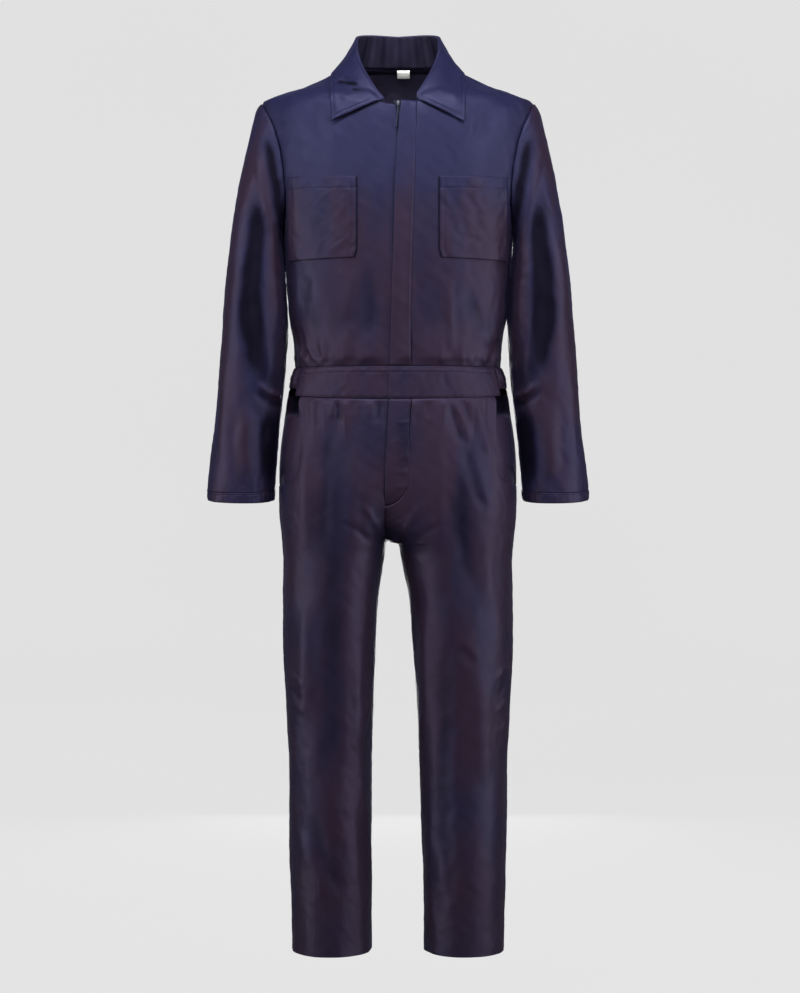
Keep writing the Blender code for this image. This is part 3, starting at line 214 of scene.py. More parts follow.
# the centre seam above the crotch, and the inner edges of the two legs below it
CENTRE_SEAM = """
z        x
-0.5600  -0.0158
-0.6450  -0.0205
-0.7000  -0.0222
-0.7850  -0.0222
-0.8200  -0.0180
"""
INSEAM = """
z        right    left
-0.8200  -0.0180  -0.0180
-0.8215  -0.0205  -0.0060
-0.8270  -0.0216  0.0012
-0.8425  -0.0227  0.0038
-0.8667  -0.0262  0.0090
-0.9150  -0.0330  0.0190
-0.9650  -0.0365  0.0245
-1.0370  -0.0400  0.0290
-1.1100  -0.0432  0.0330
-1.1820  -0.0450  0.0360
-1.3000  -0.0455  0.0398
-1.4000  -0.0452  0.0432
-1.5235  -0.0448  0.0450
"""

# how deep the centre seam lies, as a share of the hips' depth, and the middle of a leg
SEAT = """
z        front   back    middle
-0.5600  0.960   0.960   0.0600
-0.7000  0.950   0.940   0.0800
-0.7500  0.900   0.880   0.0880
-0.7800  0.810   0.780   0.0910
-0.8000  0.670   0.650   0.0925
-0.8100  0.520   0.510   0.0935
-0.8160  0.350   0.350   0.0940
-0.8200  0.000   0.000   0.0940
-0.8600  0.000   0.000   0.0960
-0.9400  0.000   0.000   0.1030
-1.0370  0.000   0.000   0.1090
-1.2000  0.000   0.000   0.1110
-1.5235  0.000   0.000   0.1145
"""

# the fly's free edge, over the zip, and the line where its other side is sewn down
FLY_EDGE = """
z        x        sewn
-0.0600  0.0062   0.0316
-0.0720  0.0050   0.0312
-0.1170  -0.0003  0.0302
-0.1510  -0.0022  0.0293
-0.2070  -0.0056  0.0277
-0.3000  -0.0080  0.0245
-0.4100  -0.0108  0.0215
-0.4930  -0.0130  0.0212
-0.5605  -0.0158  0.0220
-0.6450  -0.0205  0.0220
-0.7000  -0.0222  0.0218
-0.7850  -0.0222  0.0218
"""

# the zip's middle, from the fly's free edge
ZIP_LINE = """
z        offset
-0.0600  -0.0052
-0.0760  -0.0044
-0.0950  0.0002
-0.1250  0.0045
-0.1600  0.0060
-0.7900  0.0060
"""

# the front edge of a side pocket's mouth, from the centre
MOUTH = """
z        x
-0.5600  0.1650
-0.6200  0.1657
-0.6950  0.1695
-0.7250  0.1710
"""

# a sleeve's rings: where each meets the outer and the inner outline, its middle and its half depth
SLEEVE = """
t      out_x   out_z    in_x    in_z     mid_y    half_y  lean
0.000  0.2352  -0.0640  0.1992  -0.3000  0.0000   0.0660  0.000
0.060  0.2452  -0.0790  0.1990  -0.3030  0.0000   0.0665  0.000
0.120  0.2540  -0.1110  0.1986  -0.3090  0.0005   0.0670  0.000
0.190  0.2635  -0.1510  0.1978  -0.3200  0.0010   0.0675  0.000
0.270  0.2740  -0.2060  0.1950  -0.3380  -0.0020  0.0675  0.000
0.360  0.2845  -0.2720  0.1925  -0.3640  -0.0070  0.0670  0.000
0.450  0.2935  -0.3420  0.1905  -0.4000  -0.0100  0.0660  0.001
0.540  0.2997  -0.4100  0.1895  -0.4460  -0.0100  0.0650  0.001
0.630  0.3053  -0.4850  0.1925  -0.5000  -0.0080  0.0640  0.002
0.720  0.3112  -0.5560  0.1970  -0.5600  -0.0060  0.0625  0.002
0.810  0.3170  -0.6220  0.2035  -0.6220  -0.0050  0.0610  0.003
0.890  0.3240  -0.6800  0.2092  -0.6800  -0.0040  0.0600  0.004
0.955  0.3287  -0.7300  0.2135  -0.7300  -0.0055  0.0590  0.005
1.000  0.3282  -0.7475  0.2150  -0.7490  -0.0060  0.0585  0.005
"""

# the collar, by the angle from the centre back: where it rolls over, and its outer edge
COLLAR = """
turn  roll_x  roll_y   roll_z   edge_x  edge_y   edge_z
0     0.0000  0.0630   0.0602   0.0000  0.0860   -0.0090
30    0.0350  0.0545   0.0612   0.0540  0.0770   -0.0105
60    0.0585  0.0325   0.0582   0.0935  0.0460   -0.0110
90    0.0715  0.0000   0.0495   0.1112  0.0000   -0.0100
111   0.0710  -0.0400  0.0266   0.1150  -0.0340  -0.0190
122   0.0645  -0.0580  0.0014   0.1150  -0.0560  -0.0330
133   0.0555  -0.0735  -0.0187  0.1148  -0.0760  -0.0520
145   0.0435  -0.0880  -0.0398  0.1142  -0.0960  -0.0740
154   0.0327  -0.0965  -0.0565  0.1134  -0.1060  -0.0930
165   0.0222  -0.1030  -0.0675  0.1124  -0.1120  -0.1063
"""
COLLAR_WALL = 0.0018
COLLAR_FOLD = 0.0017  # radius of the roll
COLLAR_END = {1: 156.5, -1: 164.0}  # where the left and right front ends are
COLLAR_SAME = 130.0  # up to this turn the two sides are alike
COLLAR_LEFT_EDGE = 0.0325  # the left roll runs straight down at this distance from the centre
COLLAR_CLEAR = 0.0026  # from the body to the middle of the fall
COLLAR_SPRING = 0.0035  # how much more the front edge stands off


# %% [markdown]
# ## A little mathematics
#
# `read_table` splits a table into its named columns. `glide` draws a smooth line through a column's values
# that never overshoots them. `swell` squares off a circle a little, as a body's section is fuller than an
# oval, and `unswell` finds the way back. `solve` finds where a rising value crosses zero.

# %% Tables, smooth lines and solving
def read_table(text):
    """Columns of a table by their names; a column of words stays a list."""
    lines = [line.split() for line in text.strip().splitlines()]
    columns = {}
    for k, name in enumerate(lines[0]):
        cells = [line[k] for line in lines[1:]]
        is_word = cells[0][0].isalpha()
        columns[name] = cells if is_word else np.array(cells, float)
    return columns


def glide(at, values, x):
    """Smooth line through the points (at, values) that never overshoots them."""
    if at[0] > at[-1]:
        at, values = at[::-1], values[::-1]
    step = np.diff(at)
    slope = np.diff(values) / step
    tangent = np.zeros(len(at))
    tangent[0], tangent[-1] = slope[0], slope[-1]
    before, after = slope[:-1], slope[1:]
    rising = before * after > 0
    near, far = 2 * step[1:] + step[:-1], step[1:] + 2 * step[:-1]
    safe_before = np.where(rising, before, 1.0)
    safe_after = np.where(rising, after, 1.0)
    mean = (near + far) / (near / safe_before + far / safe_after)
    tangent[1:-1] = np.where(rising, mean, 0.0)
    x = np.clip(x, at[0], at[-1])
    k = np.clip(np.searchsorted(at, x) - 1, 0, len(step) - 1)
    h = step[k]
    t = (x - at[k]) / h
    return (
        values[k] * (1 + 2 * t) * (1 - t) ** 2
        + values[k + 1] * t * t * (3 - 2 * t)
        + tangent[k] * h * t * (1 - t) ** 2
        + tangent[k + 1] * h * t * t * (t - 1)
    )


TABLES = {
    "torso": read_table(TORSO),
    "seam": read_table(CENTRE_SEAM),
    "inseam": read_table(INSEAM),
    "seat": read_table(SEAT),
    "fly": read_table(FLY_EDGE),
    "zip": read_table(ZIP_LINE),
    "mouth": read_table(MOUTH),
    "sleeve": read_table(SLEEVE),
    "collar": read_table(COLLAR),
}


def read(table, column, at, key="z"):
    """A column's smooth value at the given places."""
    return glide(TABLES[table][key], TABLES[table][column], np.asarray(at, float))


def ease(x):
    """0 below 0, 1 above 1, and a soft S between."""
    x = np.clip(x, 0.0, 1.0)
    return x * x * (3 - 2 * x)


def unit(vectors):
    """Directions of the same vectors, all of length 1."""
    return vectors / np.maximum(np.linalg.norm(vectors, axis=-1, keepdims=True), 1e-12)


def bell(x, width):
    """1 at 0, falling off softly on both sides."""
    return np.exp(-((x / width) ** 2))


def faded(share, rate):
    """0 at both ends of a run, and 1 between them; a higher rate fades closer to the ends."""
    return ease(share * rate) * ease((1 - share) * rate)


def swell(s, square):
    """Sine or cosine of a turn round a section, squared off a little."""
    return (s * (1 + 3 * square) - 4 * square * s**3) / (1 - square)


def unswell(r, square):
    """The sine or cosine whose swell is r."""
    r = np.clip(r, -1.0, 1.0)
    s = np.array(r, float)
    for _ in range(8):
        rate = (1 + 3 * square - 12 * square * s * s) / (1 - square)
        s = s - (swell(s, square) - r) / np.maximum(rate, 0.2)
    return np.clip(s, -1.0, 1.0)


def solve(rises, low, high):
    """Where a rising function of a number crosses zero, between low and high."""
    for _ in range(36):
        middle = (low + high) / 2
        over = rises(middle) > 0
        high = np.where(over, middle, high)
        low = np.where(over, low, middle)
    return (low + high) / 2


print(len(TABLES), "tables")


# %% [markdown]
# ## Three base forms
#
# The suit hangs on three forms. The torso is one closed section at every height. Below the waist each side
# has a front and a back half, which part into two legs at the crotch. The sleeve is a tube that starts as the
# armhole's edge and turns into plain rings. Each form takes where it is asked and gives a point on the outer
# surface, and `raised` and `legs_raised` move it out along the surface's own direction.

# %% Base form: torso
def torso(turn, z):
    """Outer surface of the body. turn is 0 at the front, pi/2 at the wearer's left, pi at the back."""
    z = np.asarray(z, float)
    square = read("torso", "square", z)
    sine, cosine = np.sin(turn), np.cos(turn)
    depth = np.where(cosine > 0, read("torso", "front", z), read("torso", "back", z))
    x = read("torso", "half", z) * swell(sine, square)
    y = -depth * swell(cosine, square)
    return np.stack(np.broadcast_arrays(x, y, z), -1)


def turn_at_x(x, z):
    """The turn, on the front half, at which the torso has that x."""
    return np.arcsin(unswell(x / read("torso", "half", z), read("torso", "square", z)))


def turn_at_neck(z):
    """The turn at which the neckline crosses the torso at that height."""
    square = read("torso", "square", z)
    half, front = read("torso", "half", z), read("torso", "front", z)

    def outside(turn):
        x = half * swell(np.sin(turn), square) / NECK_HALF
        y = front * swell(np.cos(turn), square) / NECK_FRONT
        return np.abs(x) ** NECK_CORNER + np.abs(y) ** NECK_CORNER - 1

    low = np.zeros(np.shape(z))
    crossing = solve(outside, low, low + math.pi / 2)
    return np.where(np.asarray(z) <= NECK_LOW, 0.0, crossing)


def neck_rise(turn):
    """How far the back of the neckline stands above its ends."""
    return NECK_RISE * np.cos(turn) ** 2


def turn_at_armhole(z, column):
    """The turn from the front, or from the back, at which a panel ends at that height."""
    z = np.asarray(z, float)
    inside = np.clip(1 - ((z - ARM_HOLE_MIDDLE) / ARM_HOLE_REACH) ** 2, 0.0, 1.0)
    depth = read("torso", column, z)
    square = read("torso", "square", z)
    seam = SEAM / 2 / depth
    turn = np.arccos(unswell(ARM_HOLE_DEPTH * np.sqrt(inside) / depth, square))
    return np.where(inside > 0, np.minimum(turn, math.pi / 2 - seam), math.pi / 2 - seam)


def surface_of(form, a, z):
    """Points of a base form and the directions that point out of it."""
    points = form(a, z)
    along_a = form(a + STEP, z) - form(a - STEP, z)
    along_z = form(a, z + STEP) - form(a, z - STEP)
    return points, unit(np.cross(along_a, along_z))


def raised(form, a, z, height):
    """Points of a base form moved out by a height."""
    points, normal = surface_of(form, a, z)
    return points + normal * np.asarray(height)[..., None]


# %% Base form: hips and legs
def hips(side, column):
    """Outer surface below the waist, for the front or back half of one side.

    side is 1 on the wearer's left and -1 on the right. The share runs from 0 at the centre seam or
    inseam to 1 at the side seam. High up it is the torso's own section. Lower down it is an oval
    about the leg's middle, whose inner half reaches past the centre seam and is cut off there.
    """
    facing = -1 if column == "front" else 1

    def form(share, z):
        z = np.asarray(z, float)
        square = read("torso", "square", z)
        half = read("torso", "half", z) * side
        depth = read("torso", column, z)
        below = read("inseam", "left" if side > 0 else "right", z)
        inner = np.where(z < CROTCH, below, read("seam", "x", z)) + side * SEAM / 2
        start = np.arcsin(unswell(inner / half, square))
        turn = start + (math.pi / 2 - start) * share
        high = (half * swell(np.sin(turn), square), depth * swell(np.cos(turn), square))
        past = np.arccos(unswell(read("seat", column, z), square))
        middle = side * read("seat", "middle", z)
        crest = 0.22 + 0.28 * ease((-0.68 - z) / 0.25)
        to_seam = -past * (1 - share / crest)
        turn = np.where(share < crest, to_seam, math.pi / 2 * (share - crest) / (1 - crest))
        reach = np.where(turn > 0, half - middle, (middle - inner) / swell(np.sin(past), square))
        low = (middle + reach * swell(np.sin(turn), square), depth * swell(np.cos(turn), square))
        blend = ease((-0.60 - z) / 0.15)
        x = high[0] + (low[0] - high[0]) * blend
        y = facing * (high[1] + (low[1] - high[1]) * blend)
        return np.stack(np.broadcast_arrays(x, y, z), -1)

    return form


def share_at_x(side, column, x, z):
    """The share at which the hips have that distance from the centre."""
    form = hips(side, column)
    low = np.zeros(np.shape(z)) - 0.15
    return solve(lambda share: side * (form(share, z)[..., 0] - x), low, low + 1.15)


def legs_raised(side, column, share, z, height):
    """Points on the hips or legs, moved out by a height."""
    form = hips(side, column)
    points, normal = surface_of(form, share, z)
    turned = side if column == "front" else -side
    return points + normal * turned * np.asarray(height)[..., None]


# %% Base form: sleeve
def body_side(y, z):
    """How far the left side of the body reaches at that depth and height."""
    depth = np.where(y < 0, read("torso", "front", z), read("torso", "back", z))
    square = read("torso", "square", z)
    cosine = unswell(np.abs(y) / depth, square)
    return read("torso", "half", z) * swell(np.sqrt(1 - cosine**2), square)


def armhole(turn):
    """The armhole's edge on the left body. turn is 0 at the armpit, pi/2 in front, pi at the tip."""
    z = ARM_HOLE_MIDDLE - ARM_HOLE_REACH * np.cos(turn)
    y = -ARM_HOLE_DEPTH * np.sin(turn)
    return np.stack(np.broadcast_arrays(body_side(y, z), y, z), -1)


def sleeve(turn, t):
    """Outer surface of the left sleeve. turn is 0 at the underarm and pi/2 in front."""
    turn, t = np.broadcast_arrays(np.asarray(turn, float), np.asarray(t, float))

    def key(column, at):
        return read("sleeve", column, at, "t")

    def ring(at):
        mid_x = (key("out_x", at) + key("in_x", at)) / 2
        mid_z = (key("out_z", at) + key("in_z", at)) / 2
        reach_x = (key("out_x", at) - key("in_x", at)) / 2
        reach_z = (key("out_z", at) - key("in_z", at)) / 2
        across, forward = swell(np.cos(turn), 0.02), swell(np.sin(turn), 0.02)
        x = mid_x - reach_x * across
        y = key("mid_y", at) - key("half_y", at) * forward
        z = mid_z - reach_z * across - key("lean", at) * forward
        return np.stack([x, y, z], -1)

    points = ring(t)
    sewn = armhole(turn) + np.array([ARM_HOLE_GAP, 0, 0]) - ring(np.zeros_like(t))
    hold = (1 - ease(t / 0.33)) ** 1.5
    points = points + sewn * hold[..., None]
    clear = body_side(points[..., 1], points[..., 2]) + ARM_HOLE_GAP + 0.0013 * ease(t / 0.05)
    short = clear - points[..., 0]
    pushed = 0.5 * (short + np.sqrt(short**2 + 0.001**2 * ease(t / 0.05)))
    return points + np.stack([pushed, 0 * short, 0 * short], -1)


# %% [markdown]
# ## Shot twill
#
# The cloth is a satin-faced twill woven from two colours, navy along and plum across, so it turns from one to
# the other with the folds. Fine diagonal ribs come from a wave pattern on the UV map, which is in metres. The
# colour drifts between the two yarns in long streaks. Light and shade are painted into the colour as well: an
# attribute that holds each point's height above the body makes ridges a little redder, as painted highlight,
# and troughs a little darker and less glossy, as painted shade, and the chest and shoulders are painted bluer
# than the body below, as painted highlight from the top light. Sheen in a blue tint gives the light edge that
# satin has where it turns away.

# %% Node helpers
def fill(tree, made, **values):
    """Sets a node's settings and sockets, by names with _ for spaces. Another node's output is linked in."""
    for key, value in values.items():
        label = key.replace("_", " ")
        if label not in made.inputs or hasattr(made, key):
            setattr(made, key, value)
        elif hasattr(value, "is_output"):
            tree.links.new(value, made.inputs[label])
        else:
            made.inputs[label].default_value = value
    return made


def node(tree, kind, **values):
    """A new node with its settings and sockets filled in."""
    return fill(tree, tree.nodes.new(kind), **values)


def shader_of(name):
    """A new material with its node tree, its shader, and the UV and the object coordinates."""
    made = bpy.data.materials.new(name)
    made.use_nodes = True
    tree = made.node_tree
    place = node(tree, "ShaderNodeTexCoord")
    return made, tree, tree.nodes["Principled BSDF"], place.outputs["UV"], place.outputs["Object"]


def noise(tree, place, scale, detail, roughness=0.5):
    """Noise over coordinates; three scales stretch it along the axes."""
    if isinstance(scale, tuple):
        place = node(tree, "ShaderNodeMapping", Vector=place, Scale=scale).outputs["Vector"]
        scale = 1.0
    made = node(tree, "ShaderNodeTexNoise", Vector=place, Scale=scale, Detail=detail, Roughness=roughness)
    return made.outputs["Fac"]


def woven(tree, place, direction, scale, **more):
    """Fine parallel ribs over the UV map."""
    made = node(tree, "ShaderNodeTexWave", Vector=place, bands_direction=direction, Scale=scale, **more)
    return made.outputs["Fac"]


def arithmetic(tree, operation, *terms):
    """The result of a sum or product of other nodes' outputs and plain numbers."""
    made = node(tree, "ShaderNodeMath", operation=operation)
    for k, term in enumerate(terms):
        if hasattr(term, "is_output"):
            tree.links.new(term, made.inputs[k])
        else:
            made.inputs[k].default_value = term
    return made.outputs["Value"]


def mixed(tree, factor, low, high, kind="RGBA"):
    """A colour between two, or a number where kind is VALUE, by a factor that comes from another node."""
    mix = node(tree, "ShaderNodeMix", data_type="FLOAT" if kind == "VALUE" else kind, Factor=factor)
    for name, value in (("A", low), ("B", high)):
        socket = [s for s in mix.inputs if s.name == name and s.type == kind][0]
        if hasattr(value, "is_output"):
            tree.links.new(value, socket)
        else:
            socket.default_value = (*value, 1) if kind == "RGBA" else value
    return [s for s in mix.outputs if s.type == kind][0]


def ramp(tree, source, low, high, bottom=0.0, top=1.0, kind="SMOOTHSTEP"):
    """A number that goes from bottom to top while the source goes from low to high."""
    made = node(tree, "ShaderNodeMapRange", interpolation_type=kind, Value=source,
                From_Min=low, From_Max=high, To_Min=bottom, To_Max=top)
    return made.outputs["Result"]


def bumped(tree, shader, height, strength, distance):
    """Gives a shader a fine relief."""
    bump = node(tree, "ShaderNodeBump", Strength=strength, Distance=distance, Height=height)
    tree.links.new(bump.outputs["Normal"], shader.inputs["Normal"])


# %% Twill, outside and inside
TWILL_PITCH = 0.00085  # metres between two ribs of the twill
WAVE_PERIOD = 0.4443  # a diagonal wave of scale 1 repeats at this distance
NAVY = (0.0060, 0.0062, 0.0206)
PLUM = (0.0108, 0.0058, 0.0108)
SLATE = (0.0064, 0.0054, 0.0136)  # navy painted greyer below the chest: painted shade, out of the top light
# the darkest colour: painted shade in the troughs, and the dark between the twill's ribs
DEEP = (0.0020, 0.0017, 0.0038)
# the twill's matte inside face: partly its own colour, partly painted light, as its colours are raised well
# above the outside's to stand in for the little light inside the suit
INSIDE_NAVY, INSIDE_PLUM = (0.0310, 0.0260, 0.0470), (0.0390, 0.0290, 0.0460)
NAVY_ABOVE = -0.14  # above this the chest and shoulders are painted navy, a painted highlight of the top light
PLUM_BELOW = -0.33  # below this the plum yarn takes over, out of the painted highlight
PLUM_SHARE = (-0.62, -0.05)  # what is added to the plum yarn's share there, above and below
SLEEVE_PLUM = -0.10  # what is added to it on the sleeves
SLEEVE_SLATE = 0.25  # how far the navy yarn turns to slate on the sleeves
BODY_ENDS, SLEEVE_STARTS = 0.185, 0.240  # from the centre; between them the body gives way to a sleeve
TONE_TO_PLUM, CLOUDS_TO_PLUM = 42.0, 1.05  # how strongly ridges, as painted highlight, and clouds show the plum yarn
GLOSS, DULL = 0.115, 0.020  # specular level of the cloth, and the lower one in its deepest troughs, as painted shade
TROUGH = (-0.0004, -0.0090)  # heights between which a trough is painted dark, as painted shade


def twill(name, navy, slate, plum, roughness):
    """Satin-faced twill with its ribs and streaks, and a soft colour change of painted light and shade."""
    made, tree, shader, cloth, body = shader_of(name)
    height = node(tree, "ShaderNodeAttribute", attribute_name="tone").outputs["Fac"]
    place = node(tree, "ShaderNodeSeparateXYZ", Vector=body)
    up = place.outputs["Z"]
    aside = ramp(tree, arithmetic(tree, "ABSOLUTE", place.outputs["X"]), BODY_ENDS, SLEEVE_STARTS)
    # Painted light: by height, the chest and shoulders are painted navy under the top light, the body below
    # plummer
    lower = ramp(tree, up, NAVY_ABOVE, PLUM_BELOW, *PLUM_SHARE)
    painted_light_plum = mixed(tree, aside, lower, SLEEVE_PLUM, "VALUE")
    clouds = noise(tree, body, (9, 9, 6), 2.0)
    streaks = noise(tree, body, (26, 26, 5), 3.0, 0.55)
    # Painted highlight: the height above the body, with the toning rows, paints ridges plummer
    drift = arithmetic(tree, "MULTIPLY_ADD", height, TONE_TO_PLUM, streaks)
    drift = arithmetic(tree, "MULTIPLY_ADD", clouds, CLOUDS_TO_PLUM, drift)
    shows_plum = ramp(tree, arithmetic(tree, "ADD", drift, painted_light_plum), 0.62, 1.18)
    # Painted shade: below the chest and on the sleeves the navy yarn is painted slate
    shaded_slate = mixed(tree, aside, ramp(tree, up, NAVY_ABOVE, PLUM_BELOW), SLEEVE_SLATE, "VALUE")
    # Painted shade: troughs are painted towards DEEP and their gloss drops towards DULL
    trough = ramp(tree, height, *TROUGH)
    colour = mixed(tree, trough, mixed(tree, shows_plum, mixed(tree, shaded_slate, navy, slate), plum), DEEP)
    ribs = woven(tree, cloth, "DIAGONAL", WAVE_PERIOD / TWILL_PITCH, Distortion=0.5, Detail=1.0)
    yarn = noise(tree, cloth, (2600, 260, 1), 2.0)
    bumped(tree, shader, arithmetic(tree, "ADD", ribs, yarn), 0.35, 0.00012)
    fill(tree, shader, Base_Color=mixed(tree, ramp(tree, ribs, 0.25, 0.05), colour, DEEP),
         Specular_IOR_Level=arithmetic(tree, "MULTIPLY_ADD", trough, DULL - GLOSS, GLOSS),
         Roughness=ramp(tree, clouds, 0.0, 1.0, roughness - 0.05, roughness + 0.07, "LINEAR"),
         Sheen_Weight=0.024, Sheen_Roughness=0.35, Sheen_Tint=(0.40, 0.42, 1.0, 1),
         Specular_Tint=(0.62, 0.58, 1.0, 1))
    return made


TWILL = twill("shot_twill", NAVY, SLATE, PLUM, 0.43)
TWILL_INSIDE = twill("shot_twill_inside", INSIDE_NAVY, INSIDE_NAVY, INSIDE_PLUM, 0.62)
print("twill:", len(TWILL.node_tree.nodes), "nodes")


# %% Sewing thread
THREAD_NAVY = (0.0022, 0.0020, 0.0080)


def thread_finish():
    """Spun thread, darker than the cloth, with a twist."""
    made, tree, shader, _, body = shader_of("navy_thread")
    twist = noise(tree, body, 1400.0, 1.0)
    bumped(tree, shader, twist, 0.4, 0.0001)
    fill(tree, shader, Base_Color=mixed(tree, twist, tuple(0.6 * c for c in THREAD_NAVY), THREAD_NAVY),
         Roughness=0.6, Specular_IOR_Level=0.06)
    return made


THREAD_FINISH = thread_finish()
